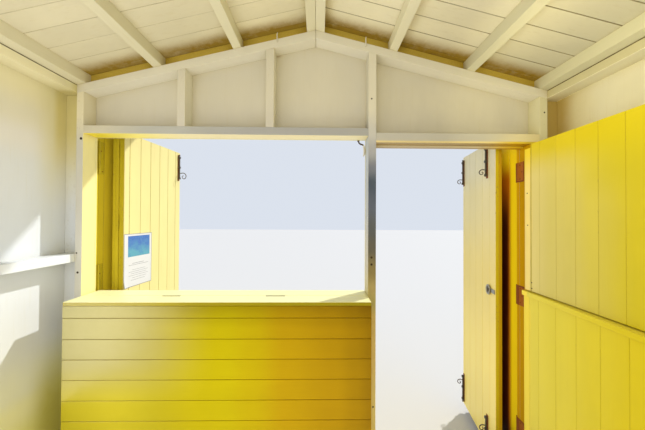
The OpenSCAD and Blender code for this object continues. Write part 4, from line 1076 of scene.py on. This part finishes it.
def tower_bolt(P, p, u, n, z0, z1, hz, up=True, w=11.0, k=1.0):
    """A tower bolt on a leaf: back plate, keepers, round bar and a curled handle. p is the point on the face at z 0,
    u runs along the leaf, n out of its face."""
    P.obox(p - u * w + Z * z0, u * 2 * w, n * 2.6, Z * (z1 - z0), 1.0, 1, 1)
    L = z1 - z0
    c = p + n * 9.0
    b0, b1 = (z0 + 12, z1 + 4) if up else (z0 - 4, z1 - 12)
    P.rod([c + Z * b0, c + Z * (b0 + 1.5), c + Z * (b1 - 3), c + Z * b1], [4.0, 5.4, 5.4, 3.8], 16)
    for f in (0.10, 0.52, 0.90):
        z = z0 + L * f
        # a keeper bent over the bar
        arc = [c + u * (-w + 2) - n * 6.2, c + u * (-8.4) - n * 5.0, c + u * (-8.4) + n * 2, c - u * 5 + n * 7.2, c + n * 8.6, c + u * 5 + n * 7.2,
               c + u * 8.4 + n * 2, c + u * 8.4 - n * 5.0, c + u * (w - 2) - n * 6.2]
        for dz in (-5, -1.7, 1.7, 5):
            P.rod([q + Z * (z + dz) for q in arc], 1.9, 8)
    for f in (0.28, 0.74):
        for e in (-1, 1):
            P.disc(p + u * e * (w - 4) + n * 2.6 + Z * (z0 + L * f), n, 3.4, 1.0, 10)
    curl = [(6, 0), (16, 2), (27, 1), (36, -5), (40, -15), (37, -26), (28, -32), (19, -28), (16, -19), (21, -13), (26, -15)]
    P.rod([c + n * a * k + Z * (hz + b * k) for a, b in curl], [3.4, 3.4, 3.3, 3.2, 3.1, 3.0, 2.9, 2.8, 2.6, 2.4, 1.8], 10)


P = Piece("iron_tower_bolts", STEEL, RUST)
o, u, d, L = o2
nrm = -d
tower_bolt(P, o + u * (L - 16), u, nrm, 1816, 2027, 1868, True)
tower_bolt(P, o + u * (L - 16), u, nrm, 78, 300, 250, False)
tower_bolt(P, o + u * 100, u, nrm, 1823, 2040, 1880, True)
tower_bolt(P, o + u * 100, u, nrm, 66, 262, 190, False)
o, u, d, L = s3
nrm = -d
tower_bolt(P, o + u * (L - 19), u, nrm, 1862, 2080, 1925, True, 9.0, 1.5)
P.make("hut", "rusty_iron")

# lock keep on the outer door's edge
P = Piece("iron_lock_keep", ZINC, DARK_MARK_AND_SHADE)
o, u, d, L = o2
nrm = -d
c = o + u * 74 + nrm * 1.5 + Z * 1094
ring = [c + u * (20 * math.cos(t)) + Z * (27 * math.sin(t)) + nrm * 5 for t in [2 * math.pi * k / 28 for k in range(28)]]
P.rod(ring, 6.0, 10, closed=True)
P.rod([c - nrm * 1.4, c + nrm * 3.4], [17.0, 17.0], 24, 0)
# a dark disc stands in for the shade in the keep's hole
P.rod([c + nrm * 3.0, c + nrm * 3.8], [9.0, 9.0], 20, 1)
P.obox(c + u * (-70) - Z * 13 - nrm * 1.4, u * 54, nrm * 4.2, Z * 26, 1.0, 1)
for k in (-58, -34):
    P.disc(c + u * k + nrm * 2.8, nrm, 4.0, 1.2, 12)
P.make("hut", "rusty_iron")

# cabin hook at the window's upper corner, outside
P = Piece("iron_corner_hook", STEEL, WHITE)
P.disc(V(-262, -4, 2027.5), -Z, 8, 3, 14)
P.rod([V(-262, -5, 2025), V(-266, -6, 2016), V(-276, -7, 2008), V(-287, -7, 2005), V(-294, -7, 2001)], [4.2, 5.0, 5.0, 4.6, 4.0], 10)
P.rod([V(-292, -7, 2005), V(-296, -7, 1996), V(-298.5, -7, 1980), V(-299.5, -7, 1962), V(-298, -7, 1945), V(-294, -7, 1934)],
      [3.0, 5.0, 5.6, 5.4, 4.6, 3.0], 12, 1)
P.make("hut", "rusty_iron")

# pegs on the rafters, screw holes and heads that show
P = Piece("rafter_pegs", WHITE, DARK_MARK_AND_SHADE)
for x in (220, -288):
    zt = rz(x) - 20
    P.rod([V(x, 91.5, zt), V(x, 94, zt + 14), V(x + 1, 95, zt + 40), V(x - 1, 94, zt + 52)], [4.2, 3.6, 3.2, 2.8], 10)
P.make("hut", "white_paint")

P = Piece("screw_marks", DARK_MARK_AND_SHADE)


def on_front(xpx, ypx):
    """The point of the front framing's inner face that a pixel of the picture looks at."""
    cam = bpy.context.scene.camera
    m = cam.matrix_world
    d = m.to_3x3() @ V((xpx - 322.5) / 245.99, -(ypx - 215) / 245.99, -1)
    o = m.translation
    k = ((90 + YO) / 1000 - o.y) / d.y
    q = o + d * k
    return V(q.x * 1000, 90.0, q.z * 1000)


for xp, yp in ((76.5, 253), (77.5, 272.5), (81, 138.4), (544.5, 112.5), (371.5, 257.5), (371.5, 264.5), (371.7, 98.7), (373, 407)):
    q = on_front(xp, yp)
    P.disc(q, Y, {371.5: 6.5, 77.5: 6.5, 81: 7.5}.get(xp, 4.6), 0.5, 12, 0, 0.8)
P.make("hut", "rusty_iron")

P = Piece("upper_leaf_screw_marks", DARK_MARK_AND_SHADE)
for dx, z in ((52, 1204), (53, 1172), (24, 1700), (27, 1520)):
    P.disc(V(PX + dx, 52.2, z), -Y, 3.6, 0.4, 10, 0, 0.8)
swung(P, UP).make("upper_leaf", "rusty_iron")

# ---------------------------------------------------------------- notice card on the shutter
P = Piece("notice_card", PAPER, PRINT, GREY)
o, u, d, L = s3
nrm = -d
cu = sorted({0.0, 3.5, 210.5, 10, 20, 34, 50, 70, 90, 110, 130, 150, 170, 186, 204, 214} | {28.0, 60.0, 160.0, 196.0})
bars = [(1262, 1265, 60, 150), (1252, 1254.5, 34, 186), (1222, 1224, 60, 160), (1210, 1212, 34, 186), (1198, 1200, 50, 170), (1186, 1188, 34, 186),
        (1172, 1174, 60, 170), (1158, 1160, 50, 160)]
cv = sorted({1118.0, 1121.5, 1446.5, 1124, 1135, 1146, 1290.0, 1306, 1320, 1360, 1400, 1425, 1436, 1450} | {float(b[0]) for b in bars} | {float(b[1]) for b in bars})
verts, faces, mats = [], [], []
for zz in cv:
    for a in cu:
        curl = 9.0 * max(0.0, (1 - a / 46.0)) ** 2 * max(0.0, (1 - (zz - 1118) / 60.0)) ** 1.5
        wave = 0.5 * math.sin(a / 40.0) + 0.4 * math.sin(zz / 50.0)
        verts.append(o + u * (a * 1.06 + 1.0) + nrm * (1.6 + wave + curl) + Z * (1560 + (zz - 1560) * 1.0575))
nc = len(cu)
for j in range(len(cv) - 1):
    for i in range(nc - 1):
        a, b, z, zb = cu[i], cu[i + 1], cv[j], cv[j + 1]
        faces.append([j * nc + i, j * nc + i + 1, (j + 1) * nc + i + 1, (j + 1) * nc + i])
        k = 0
        if a >= 27.9 and b <= 196.1 and z >= 1305.9 and zb <= 1436.1:
            k = 1
        for z0, z1, a0, a1 in bars:
            if z >= z0 - 0.1 and zb <= z1 + 0.1 and a >= a0 - 0.1 and b <= a1 + 0.1:
                k = 2
        if b <= 3.6 or a >= 210.4 or zb <= 1121.6 or z >= 1446.4:
            k = 2
        mats.append(k)
n0 = len(verts)
back = [p - nrm * 0.5 for p in verts]
fs = [f[:] for f in faces] + [[i + n0 for i in f[::-1]] for f in faces]
nr = len(cv)
rim = [i for i in range(nc)] + [j * nc + nc - 1 for j in range(1, nr)] + [(nr - 1) * nc + i for i in range(nc - 2, -1, -1)] + [j * nc for j in range(nr - 2, 0, -1)]
for i in range(len(rim)):
    a, b = rim[i], rim[(i + 1) % len(rim)]
    fs.append([b, a, a + n0, b + n0])
fm = mats + [0] * (len(fs) - len(mats))
if (verts[1] - verts[0]).cross(verts[nc] - verts[0]).dot(nrm) < 0:
    fs = [f[::-1] for f in fs]
P.v = verts + back
P.f, P.m, P.s = fs, fm, [False] * len(fs)
P.g = [(p.z, 0.0, 0.0) for p in P.v]
P.t = [0.5] * len(P.v)
P.h = [1000.0] * len(P.v)
P.make("hut", "white_paint")

scene = bpy.context.scene
scene.view_settings.view_transform = "Standard"
scene.view_settings.look = "None"
scene.view_settings.exposure = 0.0
